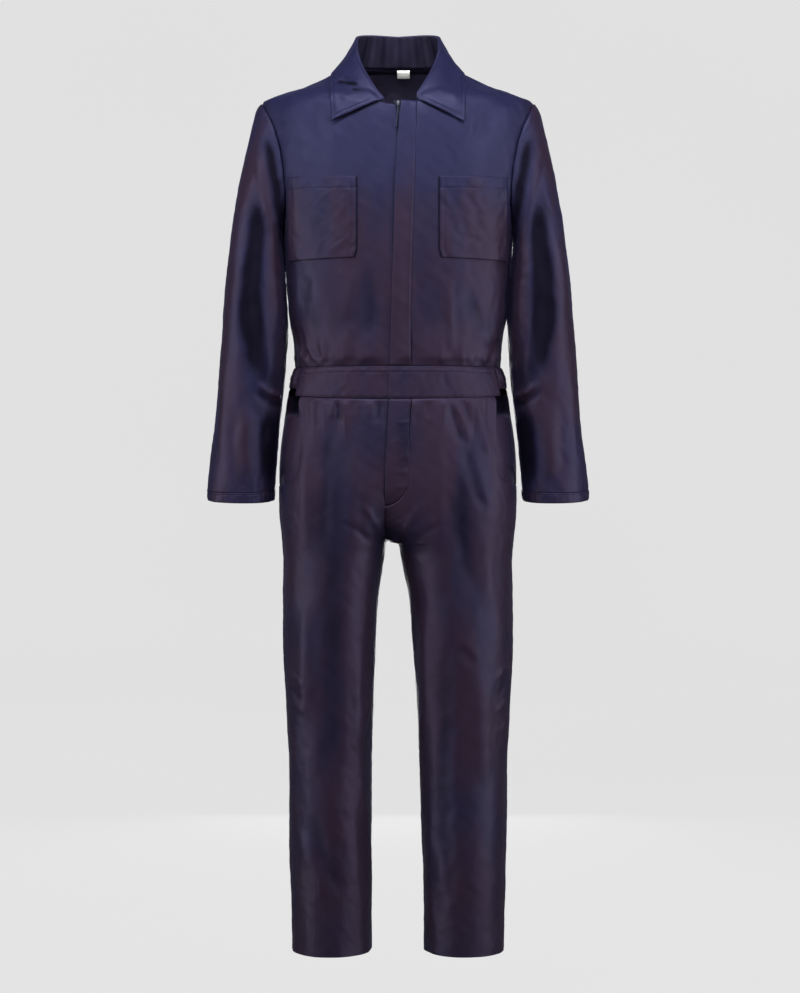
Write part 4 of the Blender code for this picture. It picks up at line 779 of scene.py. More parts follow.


# %% [markdown]
# ## Creases, placed one by one
#
# Worn cloth is read by its creases, so each one is put where the garment pulls or sags: a fan above the
# waistband, gathers below it, a soft bend at the elbow, long folds down the thigh. Every row of the table is
# one soft ridge or trough that runs from (x0, z0) to (x1, z1) as seen from its side. `bow` bends it sideways,
# `width` is its half width, `depth` is its height, below zero for a trough, all in millimetres, and `lean`
# makes one flank steeper than the other. The back gets the same kinds as the front. A weak, slow unevenness
# everywhere keeps the cloth from looking pressed. Rows whose form ends in `tone` move no cloth: they are
# painted light. Below zero they paint shade, in long folds, down the sleeves, along the centre front and
# under the collar's leaves, and above zero a redder highlight where a fold catches the light.

# %% Table of creases
# Rows of sleevetone, chesttone, thightone and leaftone are painted light: shade below zero, highlight above
FOLDS = """
form x0 z0 x1 z1 bow width depth lean
chest -147 -59 -133 -135 0 10 -2.2 0
chest -126 -64 -98 -155 0 12 1.8 0
chest -170 -78 -160 -155 0 10 1.2 0
chest -76 -344 -86 -451 0 12 1.8 0
chest -155 -361 -160 -422 0 12 -1.6 0
chest -172 -446 -143 -513 2 6.5 -3 0.3
chest -157 -473 -130 -520 2 4.8 2.8 0.2
chest -138 -484 -120 -522 0 4 -2.2 0.2
chest -167 -484 -154 -520 0 4.5 2.5 0
chest -113 -493 -106 -522 0 4 1.5 0
chest -187 -405 -165 -484 2 8 2.2 0.2
chest -44 -240 -37 -484 3 16 -1.5 0
chest -20 -105 -24 -493 0 12 1.2 0
chest 150 -64 138 -139 0 10 -2 0
chest 130 -71 110 -155 0 11 1.8 0
chest 115 -103 132 -147 0 5 1 0
chest 115 -380 144 -491 -2 12 -3.6 0.2
chest 86 -355 91 -513 0 8 2.2 0.3
chest 154 -483 144 -520 0 6 3.2 0
chest 167 -469 155 -513 0 5 -3 0.2
chest 132 -488 125 -520 0 4 1.8 0
chest 118 -493 113 -520 0 3.5 -1.4 0
chest 46 -122 39 -484 2 14 -1.2 0
chest 184 -405 164 -484 -2 8 2.2 0.2
chest -182 -324 -135 -355 0 6 1 0
chest 182 -324 138 -358 0 6 1 0
chest 4 -122 2 -496 0 6 0.5 0
sleeve 225 -119 198 -244 0 8 -4.5 0.2
sleeve 248 -130 208 -341 2 9 4 0.2
sleeve 218 -287 201 -466 0 8 3 0
sleeve 232 -239 258 -406 0 13 -5 0.2
sleeve 258 -372 246 -551 0 14 -6 0
sleeve 273 -210 290 -457 0 12 3 0
sleeve 232 -406 218 -551 0 9 2.2 0
sleeve 242 -546 194 -573 -4.5 4 3.6 0.2
sleeve 246 -561 194 -589 -4.5 5.5 -3.6 0.2
sleeve 225 -594 222 -717 0 13 -4 0.2
sleeve 256 -580 261 -724 0 12 3 0
sleeve 276 -573 283 -717 0 8 -1.6 0
sleeve 295 -483 302 -696 0 8 1.5 0
thigh -98 -576 -101 -620 0 5 -3.5 0
thigh -110 -577 -113 -609 0 4 2 0
thigh -30 -576 -34 -618 0 4.5 -3 0
thigh -44 -577 -46 -611 0 4 1.8 0
thigh -78 -576 -81 -604 0 3 -1.5 0
thigh -61 -576 -61 -601 0 3 -1.3 0
thigh -135 -574 -138 -603 0 3.2 -1.6 0
thigh -115 -598 -128 -873 3 14 -3.4 0.2
thigh -155 -594 -159 -856 0 11 2.8 0
thigh -71 -591 -81 -856 -3 14 2.4 0
thigh -44 -696 -57 -847 0 10 1.8 0
thigh 84 -576 116 -660 2 5.5 -4.2 0.3
thigh 112 -642 149 -775 3 10 -4 0.2
thigh 66 -576 71 -856 0 12 2.8 0
thigh 112 -576 122 -621 0 4.5 -3 0
thigh 98 -576 123 -648 0 5 3 0.2
thigh 133 -577 160 -682 2 8 3 0
thigh 51 -576 52 -611 0 3.2 -1.6 0
thigh 108 -679 122 -923 3 16 -3.6 0
thigh 150 -780 155 -940 0 10 2.4 0
thigh -24 -810 -67 -746 2 5 1.4 0
thigh -40 -822 -101 -780 2 6 -1.4 0
thigh 7 -810 47 -743 -2 5 1.4 0
thigh 20 -822 81 -783 -2 6 -1.2 0
thigh -106 -895 -106 -1261 4 16 -3.4 0.2
thigh -157 -912 -160 -1143 0 12 2.8 0
thigh -66 -982 -69 -1193 0 9 2.6 0
thigh -46 -1063 -64 -1126 1 3.5 1.8 0.2
thigh -47 -1097 -62 -1156 1 3.5 1.6 0.2
thigh -189 -1040 -155 -1067 -2 6 1.7 0.2
thigh -189 -1067 -159 -1092 -2 5 -1.5 0.2
thigh -187 -1087 -154 -1111 0 6 1.2 0
thigh -154 -1273 -88 -1433 3 14 -2.8 0.2
thigh -172 -1300 -115 -1448 0 12 2 0
thigh -64 -1249 -57 -1430 0 8 -2 0
thigh 83 -912 83 -1492 4 16 -3.4 0
thigh 46 -912 37 -1261 0 10 2 0
thigh 147 -1043 145 -1244 0 13 2.8 0
thigh 105 -992 132 -1030 0 8 -2 0.2
thigh 194 -1026 166 -1057 1 5 1.9 0.2
thigh 194 -1057 169 -1082 1 4.5 -1.6 0.2
thigh 192 -1084 167 -1111 0 5 1.6 0
thigh 191 -1121 170 -1148 0 4 1.3 0
thigh 51 -1334 71 -1484 0 9 -2.4 0
thigh 66 -1317 93 -1475 0 8 1.8 0
fly -3 -616 25 -614 0 2.6 1.1 0
fly -7 -645 10 -650 0 2.2 0.7 0
fly -3 -675 22 -672 0 2.6 0.9 0
fly -12 -697 25 -699 0 2.8 1.2 0
fly -10 -726 25 -722 0 2.8 1.1 0
spine -120 -200 -105 -430 4 15 2.6 0
spine 118 -210 100 -425 -4 15 2.6 0
spine -60 -300 -52 -505 2 12 -2.4 0.2
spine 55 -290 62 -505 -2 12 -2.4 0.2
spine -20 -330 -16 -512 0 10 2 0
spine 24 -350 20 -512 0 9 1.8 0
spine -150 -420 -125 -512 3 7 -2.8 0.3
spine 152 -415 128 -512 -3 7 -2.8 0.3
spine -137 -440 -113 -515 0 5.5 2.6 0
spine 140 -440 115 -515 0 5.5 2.6 0
spine -90 -455 -86 -515 0 4.5 -2.2 0.2
spine 92 -450 90 -515 0 4.5 -2.2 0.2
spine -175 -300 -130 -330 3 7 1.8 0
spine 175 -305 130 -332 3 7 1.8 0
spine -150 -120 -80 -150 6 12 -1.4 0
spine 150 -118 82 -148 6 12 -1.4 0
elbow 230 -130 245 -330 4 11 3.4 0.2
elbow 255 -200 265 -380 4 13 -4 0
elbow 205 -300 215 -420 2 9 2.6 0
elbow 225 -480 285 -470 10 9 3 0.2
elbow 225 -515 290 -505 10 8 -3 0.2
elbow 235 -545 290 -540 8 7 2.4 0
elbow 255 -570 260 -710 3 13 -3.6 0
elbow 285 -560 290 -710 3 11 2.4 0
elbow 230 -580 235 -700 0 10 2.2 0
seat -100 -585 -85 -760 -4 12 2.4 0.2
seat 98 -585 88 -750 4 12 2.4 0.2
seat -150 -585 -140 -720 0 10 -2.6 0.2
seat 150 -585 142 -715 0 10 -2.6 0.2
seat -55 -585 -50 -660 0 5.5 -2.8 0.2
seat 58 -585 50 -655 0 5.5 -2.8 0.2
seat -25 -845 -95 -800 6 7 2.6 0.2
seat 22 -845 90 -802 6 7 2.6 0.2
seat -35 -870 -115 -840 6 8 -2.6 0.2
seat 32 -870 112 -842 6 8 -2.6 0.2
seat -50 -1065 -150 -1080 8 8 3 0.2
seat 48 -1070 150 -1082 8 8 3 0.2
seat -55 -1095 -160 -1115 8 7 -3 0.2
seat 52 -1098 158 -1116 8 7 -3 0.2
seat -60 -1125 -150 -1150 8 7 2.6 0
seat 60 -1128 150 -1150 8 7 2.6 0
seat -115 -900 -110 -1050 4 16 -3 0
seat 118 -900 112 -1050 4 16 -3 0
seat -100 -1180 -115 -1480 4 16 -3.4 0.2
seat 104 -1180 116 -1480 4 16 -3.4 0.2
seat -150 -1220 -155 -1460 0 12 2.2 0
seat 152 -1220 158 -1460 0 12 2.2 0
seat -65 -1240 -70 -1440 0 10 2 0
seat 68 -1240 72 -1440 0 10 2 0
leaf -108 -28 -62 -40 2 3.5 -1.2 0.2
leaf -108 -36 -55 -48 2 3 0.9 0
leaf -100 -14 -70 -20 0 4.5 0.9 0
leaf 110 -30 72 -42 2 5 0.9 0
band -120 -530 -110 -560 1 4 -0.7 0
band -62 -528 -68 -562 1 4 -0.5 0
band 75 -528 85 -562 1 4 -0.6 0
band 135 -528 128 -560 1 4 0.6 0
sleevetone 230 -103 201 -291 0 10 -6.5 0
sleevetone 206 -185 200 -338 0 6 -5 0
sleevetone 240 -192 252 -492 2 20 -6.8 0
sleevetone 259 -304 242 -495 0 23 -4 0
sleevetone 252 -390 206 -590 -2 20 -6.8 0
sleevetone 211 -563 228 -747 3 18 -8 0
sleevetone 216 -262 213 -483 0 8 6 0
sleevetone 259 -151 269 -262 0 9 6 0
sleevetone 293 -321 314 -628 0 12 4 0
sleevetone 273 -577 269 -713 0 10 5 0
chesttone -154 -393 -119 -512 2 20 -3 0
chesttone -51 -321 -48 -529 0 16 -2.5 0
chesttone 106 -389 119 -512 2 14 -2 0
chesttone -3 -100 -20 -529 0 6 -3 0
thightone -106 -577 -102 -986 2 18 -2.4 0
thightone -123 -781 -116 -1020 2 24 -2.4 0
thightone 8 -568 3 -747 0 16 -4 0
thightone 102 -594 112 -850 2 16 -2 0
chesttone -133 -110 -10 -64 0 4.2 -11 0
chesttone 20 -62 133 -112 0 4.2 -11 0
chesttone -102 -355 -112 -458 0 20 -1.6 0
leaftone -112 -33 -58 -42 1 4.4 -9 0
leaftone -87 -48 -45 -54 1 3.4 -7 0
leaftone -109 -21 -75 -30 0 3 -3 0
leaftone 119 -45 75 -55 0 4 -2.4 0
leaftone -98 -34 -78 -56 0 8 5 0
leaftone 44 -54 87 -48 0 8 5 0
leaftone 77 -33 95 -37 1 3.2 -5 0
"""
MILLIMETRE = 0.001
TABLES["folds"] = {name: cells if name in ("form", "lean") else cells * MILLIMETRE
                   for name, cells in read_table(FOLDS).items()}
print(len(TABLES["folds"]["form"]), "creases")


# %% Height of the creases and of the slow unevenness
def creases(form, points, mirror=1):
    """Height that the table's creases give at points of a form; mirror is -1 for one drawn on the left."""
    table = TABLES["folds"]
    x, z = points[..., 0] * mirror, points[..., 2]
    height = np.zeros(x.shape)
    for k in [k for k, name in enumerate(table["form"]) if name == form]:
        run = np.array([table["x1"][k] - table["x0"][k], table["z1"][k] - table["z0"][k]])
        length = float(np.hypot(*run))
        run = run / length
        along = ((x - table["x0"][k]) * run[0] + (z - table["z0"][k]) * run[1]) / length
        across = (x - table["x0"][k]) * run[1] - (z - table["z0"][k]) * run[0]
        across = across - table["bow"][k] * np.sin(math.pi * np.clip(along, 0, 1))
        flank = table["width"][k] * (1 + table["lean"][k] * np.tanh(across / table["width"][k]))
        ends = ease(along / 0.3) * ease((1 - along) / 0.3)
        height = height + table["depth"][k] * ends * bell(across, flank)
    return height


def drape(points, seed, broad=0.055, long=0.26):
    """Slow unevenness between about -1 and 1, the same on both sides of a seam; long runs up and down."""
    rng = np.random.default_rng(seed)
    total = np.zeros(points.shape[:-1])
    for _ in range(7):
        heading = rng.uniform(0, 2 * math.pi)
        waves = np.array([math.cos(heading) / broad, math.sin(heading) / broad, rng.uniform(-1, 1) / long])
        waves[:2] *= rng.uniform(0.5, 1.3)
        bend = 0.010 * np.sin(2 * math.pi * (points[..., 2] / long * rng.uniform(0.6, 1.2) + rng.random()))
        total += np.sin(2 * math.pi * (points @ waves + bend * waves[0] + rng.random()))
    return total / 3.5


def rumple(points, seed):
    """Small soft wrinkles in every direction, between about -1 and 1."""
    return drape(points, seed, broad=0.021, long=0.045)


# %% [markdown]
# ## A shell of cloth
#
# Every piece starts as a flat grid, as cloth does, and a rule says where each of its points goes on the worn
# body. The same grid gives the UV map in metres of cloth, so the weave follows the piece wherever it bends.
# Seams roll inwards a little, which is what makes them show as fine grooves. A ring's two ends are merged,
# all faces are turned outwards, and a Solidify modifier gives the wall its thickness towards the inside.

# %% Even and close stations
GRAIN = 0.0034  # metres between two points of a large panel
FINE = 0.0026  # and of a small piece
WALL = 0.0010  # thickness of the shell
SEAM_ROLL = 0.0011  # how far a sewn edge turns in
SEAM_REACH = 0.0017  # and how wide that turn is
CLOSE = (-0.0030, -0.0015, -0.0006, 0, 0.0006, 0.0015, 0.0030)  # extra points beside a row of stitches
LEAST = 0.0005  # no two points of a row or column are closer
TUCK = 0.0028  # how far a seam allowance runs below the neighbour


def stations(length, spacing, close_to=()):
    """Places along a length as shares of it: even ones, and closer ones round each seam or stitch line."""
    even = np.linspace(0, length, max(2, round(length / spacing)) + 1)
    near = [place + step for place in close_to for step in CLOSE]
    places = np.unique(np.round(np.clip(np.concatenate([even, near]), 0, length), 5))
    kept = [0.0]
    for place in places[1:-1]:
        if place - kept[-1] > LEAST and length - place > LEAST:
            kept.append(float(place))
    return np.array([*kept, length]) / length


def slope_levels(low, high, spacing, extra=()):
    """Heights from low to high, evenly spaced along the shoulder's slope, with extra ones among them."""
    dense = np.linspace(low, high, 1200)
    steps = np.hypot(np.diff(dense), 0.6 * np.diff(read("torso", "half", np.minimum(dense, 0))))
    gone = np.concatenate([[0], np.cumsum(steps)])
    count = max(2, round(gone[-1] / spacing))
    even = np.interp(np.linspace(0, gone[-1], count + 1), gone, dense)
    merged = np.unique(np.round(np.concatenate([even, extra]), 6))
    return merged[(merged >= low - 1e-9) & (merged <= high + 1e-9)]


# %% Lay a piece
LAID = {}  # the points, outward directions and edge distances of every laid piece


def gone_along(points, axis):
    """Length of cloth from the grid's first row or column to each point."""
    steps = np.linalg.norm(np.diff(points, axis=axis), axis=-1)
    start = np.zeros_like(np.take(steps, [0], axis=axis))
    return np.concatenate([start, np.cumsum(steps, axis=axis)], axis=axis)


def distances_to_edges(points):
    """Length of cloth from each point to the four edges of the grid."""
    across, along = gone_along(points, 1), gone_along(points, 0)
    return {"first": across, "last": across[:, -1:] - across, "low": along, "high": along[-1:] - along}


def tucked(grid, edge, reach):
    """The grid with a seam allowance past one edge: down into the seam, then below the neighbour's edge."""
    axis = 1 if edge in ("first", "last") else 0
    at_start = edge in ("first", "low")
    reach = np.asarray(reach, float)[:, None] if axis else np.asarray(reach, float)[None, :]
    line = np.take(grid, [0 if at_start else -1], axis)
    away = unit(line[..., :3] - np.take(grid, [2 if at_start else -3], axis)[..., :3])
    folds = []
    for sideways, depth in ((0.0001, 0.0017), (TUCK, 0.0020)):
        fold = line.copy()
        moved = (0.0001 + (sideways - 0.0001) * reach)[..., None] * away
        fold[..., :3] += moved - line[..., 3:6] * (depth * (0.4 + 0.6 * reach))[..., None]
        folds.append(fold)
    return np.concatenate([*folds[::-1], grid] if at_start else [grid, *folds], axis)


SHOULDER_REACH = 0.020  # up and down from a point, over which the shoulder is softened


def rounded(points, edges):
    """Softens the turn from shoulder to chest: averages depth over a reach that shrinks at the outline."""
    x, z = np.abs(points[..., 0]), points[..., 2]
    behind = points[..., 1] > 0
    widening = slice(0, int(np.argmax(TABLES["torso"]["half"])) + 1)
    outline = np.interp(x, TABLES["torso"]["half"][widening], TABLES["torso"]["z"][widening])
    reach = np.minimum(SHOULDER_REACH, 0.8 * np.maximum(outline - z, 0))

    def depth(level):
        level = np.minimum(level, -0.0005)
        turn = turn_at_x(np.minimum(x, 0.9995 * read("torso", "half", level)), level)
        return torso(np.where(behind, math.pi - turn, turn), level)[..., 1]

    shares = np.linspace(-1, 1, 11)
    weights = 1.1 - np.abs(shares)
    even = sum(weight * depth(z + share * reach) for share, weight in zip(shares, weights)) / weights.sum()
    fade = ease(edges["last"] / 0.02) * ease(edges["first"] / 0.004) * ease((z + 0.12) / 0.02)
    points = points.copy()
    points[..., 1] += (even - depth(z)) * fade
    return points


def in_scene(name, mesh):
    """Puts a mesh in the scene."""
    made = bpy.data.objects.new(name, mesh)
    bpy.context.scene.collection.objects.link(made)
    return made


def mesh_of(name, grid, columns, rows, duller, skip, ring, turned):
    """A grid of placed points as a mesh, with its UV map, its tone and its cut-away cells."""
    bm = bmesh.new()
    bmesh.ops.create_grid(bm, x_segments=columns.size - 1, y_segments=rows.size - 1, size=0.5)
    mesh = bpy.data.meshes.new(name)
    bm.to_mesh(mesh)
    places = np.zeros(3 * len(mesh.vertices))
    mesh.vertices.foreach_get("co", places)
    column = np.rint((places[0::3] + 0.5) * (columns.size - 1)).astype(int)
    row = np.rint((places[1::3] + 0.5) * (rows.size - 1)).astype(int)
    centre = np.zeros(3 * len(mesh.polygons))
    mesh.polygons.foreach_get("center", centre)
    corner = np.zeros(len(mesh.loops), int)
    mesh.loops.foreach_get("vertex_index", corner)
    placed = grid[row, column]
    mesh.uv_layers.new(name="cloth").data.foreach_set("uv", placed[corner, 6:8].ravel())
    mesh.attributes.new("tone", "FLOAT", "POINT").data.foreach_set("value", placed[:, 8])
    mesh.vertices.foreach_set("co", placed[:, :3].ravel())
    cell = np.floor((centre[0::3] + 0.5) * (columns.size - 1)).astype(int)
    line = np.floor((centre[1::3] + 0.5) * (rows.size - 1)).astype(int)
    if duller:
        mesh.polygons.foreach_set("material_index", duller(rows[line]).astype(np.int32))

    bm.clear()
    bm.from_mesh(mesh)
    bm.faces.ensure_lookup_table()
    if skip:
        left_out = np.nonzero(skip(columns[cell], columns[cell + 1], rows[line]))[0]
        bmesh.ops.delete(bm, geom=[bm.faces[k] for k in left_out], context="FACES")
    if ring:
        bmesh.ops.remove_doubles(bm, verts=bm.verts, dist=1e-6)
    if turned:
        bmesh.ops.reverse_faces(bm, faces=bm.faces)
    bm.to_mesh(mesh)
    bm.free()
    mesh.shade_smooth()
    return mesh


def lay(name, form, across, along, relief, seams=(), ring=False, skip=None, wall=WALL, tucks=None,
        soften=None, shade=None, fanned=False, duller=None):
    """Makes a cloth piece. form(u, v, height) gives points, and relief(points, u, v, edges) their height.

    Sewn edges named in seams roll in. Those in tucks also get an allowance, a share from 0 to 1 along it.
    soften evens the finished points. shade(points, u, v, height) replaces the height that the colour follows.
    Faces whose v passes duller(v) show the inside finish.
    """
    u, v = np.asarray(across, float)[None, :], np.asarray(along, float)[:, None]
    level = np.zeros((v.size, u.size))
    flat = form(u, v, level)
    edges = distances_to_edges(flat)
    rolled = sum((bell(edges[seam], SEAM_REACH) for seam in seams), level)
    height = relief(flat, u, v, edges) + level
    points = form(u, v, height - SEAM_ROLL * np.minimum(rolled, 1))
    outward = unit(form(u, v, height + 0.001) - form(u, v, height))
    sideways, upward = np.gradient(points, axis=1), np.gradient(points, axis=0)
    turned = np.sum(np.cross(sideways, upward) * outward) < 0
    if soften:
        points = soften(points, edges)
    grain_line = slice(u.size // 2, u.size // 2 + 1)
    weft = edges["first"] - edges["first"][:, grain_line]
    warp = edges["low"] if fanned else edges["low"][:, grain_line] + level
    tone = shade(points, u, v, height) if shade else height
    grid = np.dstack([points, outward, weft, warp, tone])
    columns, rows = np.asarray(across, float), np.asarray(along, float)
    for edge, share in (tucks or {}).items():
        by_column = edge in ("first", "last")
        grid = tucked(grid, edge, share + np.zeros(grid.shape[0 if by_column else 1]))
        more = (2, 0) if edge in ("first", "low") else (0, 2)
        if by_column:
            columns = np.pad(columns, more, "edge")
        else:
            rows = np.pad(rows, more, "edge")

    mesh = mesh_of(name, grid, columns, rows, duller, skip, ring, turned)
    piece = in_scene(name, mesh)
    thicken = piece.modifiers.new("wall", "SOLIDIFY")
    thicken.thickness = wall
    thicken.offset = -1
    thicken.material_offset = 1
    LAID[name] = {"points": points, "outward": outward, "edges": distances_to_edges(points),
                  "cut": grid[..., :3]}
    print(f"{name}: {len(mesh.polygons)} faces")
    return piece


# %% [markdown]
# ## Sewing the stitches one by one
#
# A row of topstitching is a line of short stitches, each a slim grain of thread half sunk in the cloth. They
# follow the finished piece at a set distance from one of its edges, so the row bends with every crease it
# crosses.

# %% Rows of stitches
STITCH_PITCH = 0.0030
STITCH_LENGTH = 0.0024
THREAD = 0.00030  # half the thread's width


def line_beside(name, edge, distance, start=0.0, stop=1.0, lifted=0.00012):
    """Points and outward directions along a laid piece, at a distance from one of its edges."""
    laid = LAID[name]
    gone = laid["edges"][edge]
    by_row = edge in ("first", "last")
    count = gone.shape[0] if by_row else gone.shape[1]
    picked = range(int(start * (count - 1)), int(round(stop * (count - 1))) + 1)
    points, outward = [], []
    for k in picked:
        where = (k, slice(None)) if by_row else (slice(None), k)
        order = np.argsort(gone[where])
        for bag, made in ((laid["points"], points), (laid["outward"], outward)):
            cells = bag[where][order]
            made.append([np.interp(distance, gone[where][order], cells[:, axis]) for axis in range(3)])
    return np.array(points) + np.array(outward) * lifted, unit(np.array(outward))


def between(line, gone, place):
    """The point of a line at a length along it."""
    return Vector([np.interp(place, gone, line[:, axis]) for axis in range(3)])


def joined(name, bm, finish):
    """A finished bmesh as an object that rides on the suit."""
    bmesh.ops.recalc_face_normals(bm, faces=bm.faces)
    mesh = bpy.data.meshes.new(name)
    bm.to_mesh(mesh)
    bm.free()
    mesh.materials.append(finish)
    piece = in_scene(name, mesh)
    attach(piece, "suit")
    return piece


def sew(name, *lines):
    """One object with a grain of thread for each stitch along each line."""
    bm = bmesh.new()
    for points, outward in lines:
        gone = np.concatenate([[0], np.cumsum(np.linalg.norm(np.diff(points, axis=0), axis=1))])
        for place in np.arange(STITCH_PITCH / 2, gone[-1], STITCH_PITCH):
            at, ahead, behind = (between(points, gone, place + step) for step in (0, 0.001, -0.001))
            out = between(outward, gone, place)
            forward = (ahead - behind).normalized()
            side = forward.cross(out).normalized()
            out = side.cross(forward)
            turn = Matrix((forward * STITCH_LENGTH / 2, side * THREAD, out * THREAD)).transposed().to_4x4()
            bmesh.ops.create_icosphere(bm, subdivisions=1, radius=1.0, matrix=Matrix.Translation(at) @ turn)
    piece = joined(name, bm, THREAD_FINISH)
    piece.data.shade_smooth()
    print(f"{name}: {len(piece.data.polygons) // 20} stitches")


# %% [markdown]
# ## The bodice
#
# Each front runs from the centre edge to the side seam, armhole and shoulder seam. The right front ends
# beside the zip. The left front meets the sewn edge of the flap. The back is one piece. Above the waistband
# the cloth blouses out a little and is gathered, as it is wider than the band it is sewn to.

# %% Shared lines of the bodice
BODICE_LOW = -0.5198
SEAM_ROWS = np.array([0.0008, 0.0020])  # extra rows of the grid beside a seam
DRAPE = 0.0011  # height of the slow unevenness
RUMPLE = 0.00035


def ripple(u, count, seed):
    """Uneven waves, a crest and a trough for each two columns, between -1 and 1."""
    uneven = 0.62 + 0.38 * np.sin(2.3 * seed + 5.1 * u * count + 1.7 * np.sin(3.1 * u * count + seed))
    return np.cos(math.pi * count * u) * uneven


def fly_edge(z):
    return read("fly", "x", z)


def zip_middle(z):
    return fly_edge(z) + read("zip", "offset", z)


def blouse(z):
    """How far the bodice hangs out over the waist seam."""
    return 0.0045 * ease((WAIST_TOP + 0.001 - z) / -0.016) * ease((-0.44 - z) / 0.06)


def gathered_in(z):
    """Strength of the bodice's gathers, which run up from the waist seam."""
    return 0.0022 * ease((z - WAIST_TOP) / 0.012) * (1 - ease((z - WAIST_TOP) / 0.075))


def off_seams(edges, first, last):
    """0 on a piece's two sides and 1 further in, as a crease ends before it reaches a seam."""
    return ease(edges["first"] / first) * ease(edges["last"] / last)


def unevenness(points):
    return DRAPE * drape(points, 5) + RUMPLE * rumple(points, 11)


def toned_and_shaded(form, edge_shade=0.0, edge_shade_width=0.0020, all_over=0.0, hem=0.0):
    """The height that the colour follows, with painted shade from the toning rows, along the first edge and
    on the hem.
    """
    def shade(points, u, v, height):
        beside = distances_to_edges(points)
        edge = edge_shade * bell(beside["first"], edge_shade_width)
        hem_shade = hem * (1 - ease((beside["high"] - POCKET_HEM + 0.001) / 0.003)) if hem else 0
        return height + creases(form, points) + all_over - edge - hem_shade

    return shade


def dress(piece, node_name, outside=None, inside=None):
    """Gives a laid piece its two finishes, its body and the solid it stands for."""
    piece.data.materials.append(outside or TWILL)
    piece.data.materials.append(inside or TWILL_INSIDE)
    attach(piece, "suit")
    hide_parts(node_name)


# %% Fronts
def front_form(side):
    """Points of a front panel: u runs from its centre edge to the side seam and armhole, v is the height."""
    def form(u, v, height):
        if side < 0:
            first = np.minimum(turn_at_x(zip_middle(v) - ZIP_EDGE, v), -turn_at_neck(v))
        else:
            first = np.maximum(turn_at_x(read("fly", "sewn", v) + SEAM, v), turn_at_neck(v))
        last = side * turn_at_armhole(v, "front")
        return raised(torso, first + (last - first) * u, v, height)

    return form


def front_relief(side, count):
    def relief(points, u, v, edges):
        height = creases("chest", points) * off_seams(edges, 0.004, 0.014)
        gathers = gathered_in(v) * ripple(u, count, side) * faded(u, 6)
        return height + gathers + blouse(v) * ease(u / 0.1) + unevenness(points)

    return relief


neck_steps = NECK_LOW + np.array([0, 0.0002, 0.0006, 0.0014, 0.0026])
bodice_levels = slope_levels(BODICE_LOW, TOP, GRAIN, [*BODICE_LOW + SEAM_ROWS, *neck_steps])
across_front = stations(0.25, GRAIN, (0, 0.25))
for side, hand, count in ((-1, "right", 13), (1, "left", 11)):
    name = f"front_{hand}"
    seams = ("last", "low") if side < 0 else ("first", "last", "low")
    beside_sleeve = (bodice_levels > ARMPIT - 0.002) & (bodice_levels < TIP + 0.002)
    tucks = {"last": np.where(beside_sleeve, 0, 1), "low": 1}
    if side > 0:
        tucks["first"] = np.concatenate([[0, 0], np.where(bodice_levels < FLY_TOP, 1, 0)])
    # Painted shade from the chest's toning rows, and on the right front along its edge under the flap
    panel = lay(f"cloth_{name}", front_form(side), across_front, bodice_levels, front_relief(side, count),
                seams, tucks=tucks, soften=rounded, shade=toned_and_shaded("chesttone", 0.010 if side < 0 else 0))
    dress(panel, name)


# %% Back
def back_form(u, v, height):
    """Points of the back panel, from the right side seam round to the left one."""
    turn = math.pi + turn_at_armhole(v, "back") * (2 * u - 1)
    return raised(torso, turn, v + neck_rise(turn) * ease((v + 0.004) / 0.004), height)


def back_relief(points, u, v, edges):
    sides = faded(u, 8)
    gathers = 1.2 * gathered_in(v) * ripple(u, 18, 2) * sides
    height = creases("spine", points) * off_seams(edges, 0.014, 0.014)
    return height + blouse(v) * sides + gathers + unevenness(points)


back_levels = slope_levels(BODICE_LOW, 0.0, GRAIN, BODICE_LOW + SEAM_ROWS)
across_back = stations(0.46, GRAIN, (0, 0.46))


def rounded_back(points, edges):
    nearer = np.minimum(edges["first"], edges["last"])
    return rounded(points, {"first": nearer, "last": nearer})


def back_shade(points, u, v, height):
    """Dark along the neck seam, where the collar's shadow lies."""
    return height - 0.010 * ease((v + 0.007) / 0.004)


back = lay("cloth_back", back_form, across_back, back_levels, back_relief, ("first", "last", "low"),
           tucks={"low": 1}, soften=rounded_back, shade=back_shade)
dress(back, "back")


# %% [markdown]
# ## The flap over the zip
#
# A doubled strip is sewn to the left front and covers the zip. Its free edge, on the wearer's right, stands
# 2.5 mm over the zip and is a fold, so it is thicker and rounder than a cut edge. It runs on through the
# waistband and ends on the trousers, where its stitching turns in a J.

# %% Upper flap
FLAP_WALL = 0.0014
FLAP_PLUM = 0.0052  # the flap, cut across the grain, shows more of the plum yarn


def fly_height(share):
    """The flap's rise, from its free edge (0) to where it is sewn down (1)."""
    return FLY_LIFT * (1 - ease(share)) + 0.0002


def fly_upper_form(u, v, height):
    x = fly_edge(v) + (read("fly", "sewn", v) - fly_edge(v)) * u
    return raised(torso, turn_at_x(x, v), v, height)


def fold_over(edges, edge="first"):
    """How far a folded edge rounds back."""
    return -0.0008 * bell(edges[edge], 0.0009)


def fly_upper_relief(points, u, v, edges):
    pinch = 0.0007 * bell(1 - u, 0.12)
    height = creases("chest", points) * ease(u / 0.7)
    return height + fly_height(u) + blouse(v) * ease(u / 0.9) + unevenness(points) + fold_over(edges) + pinch


across_fly = stations(0.035, 0.0022, (0, 0.035))
fly_levels = slope_levels(WAIST_TOP + SEAM, FLY_TOP, 0.0030)
# Painted shade along the flap's free edge and from the chest's toning rows
flap = lay("cloth_fly_upper", fly_upper_form, across_fly, fly_levels, fly_upper_relief, ("last", "low"),
           wall=FLAP_WALL, shade=toned_and_shaded("chesttone", 0.010, all_over=FLAP_PLUM))
dress(flap, "fly_upper")


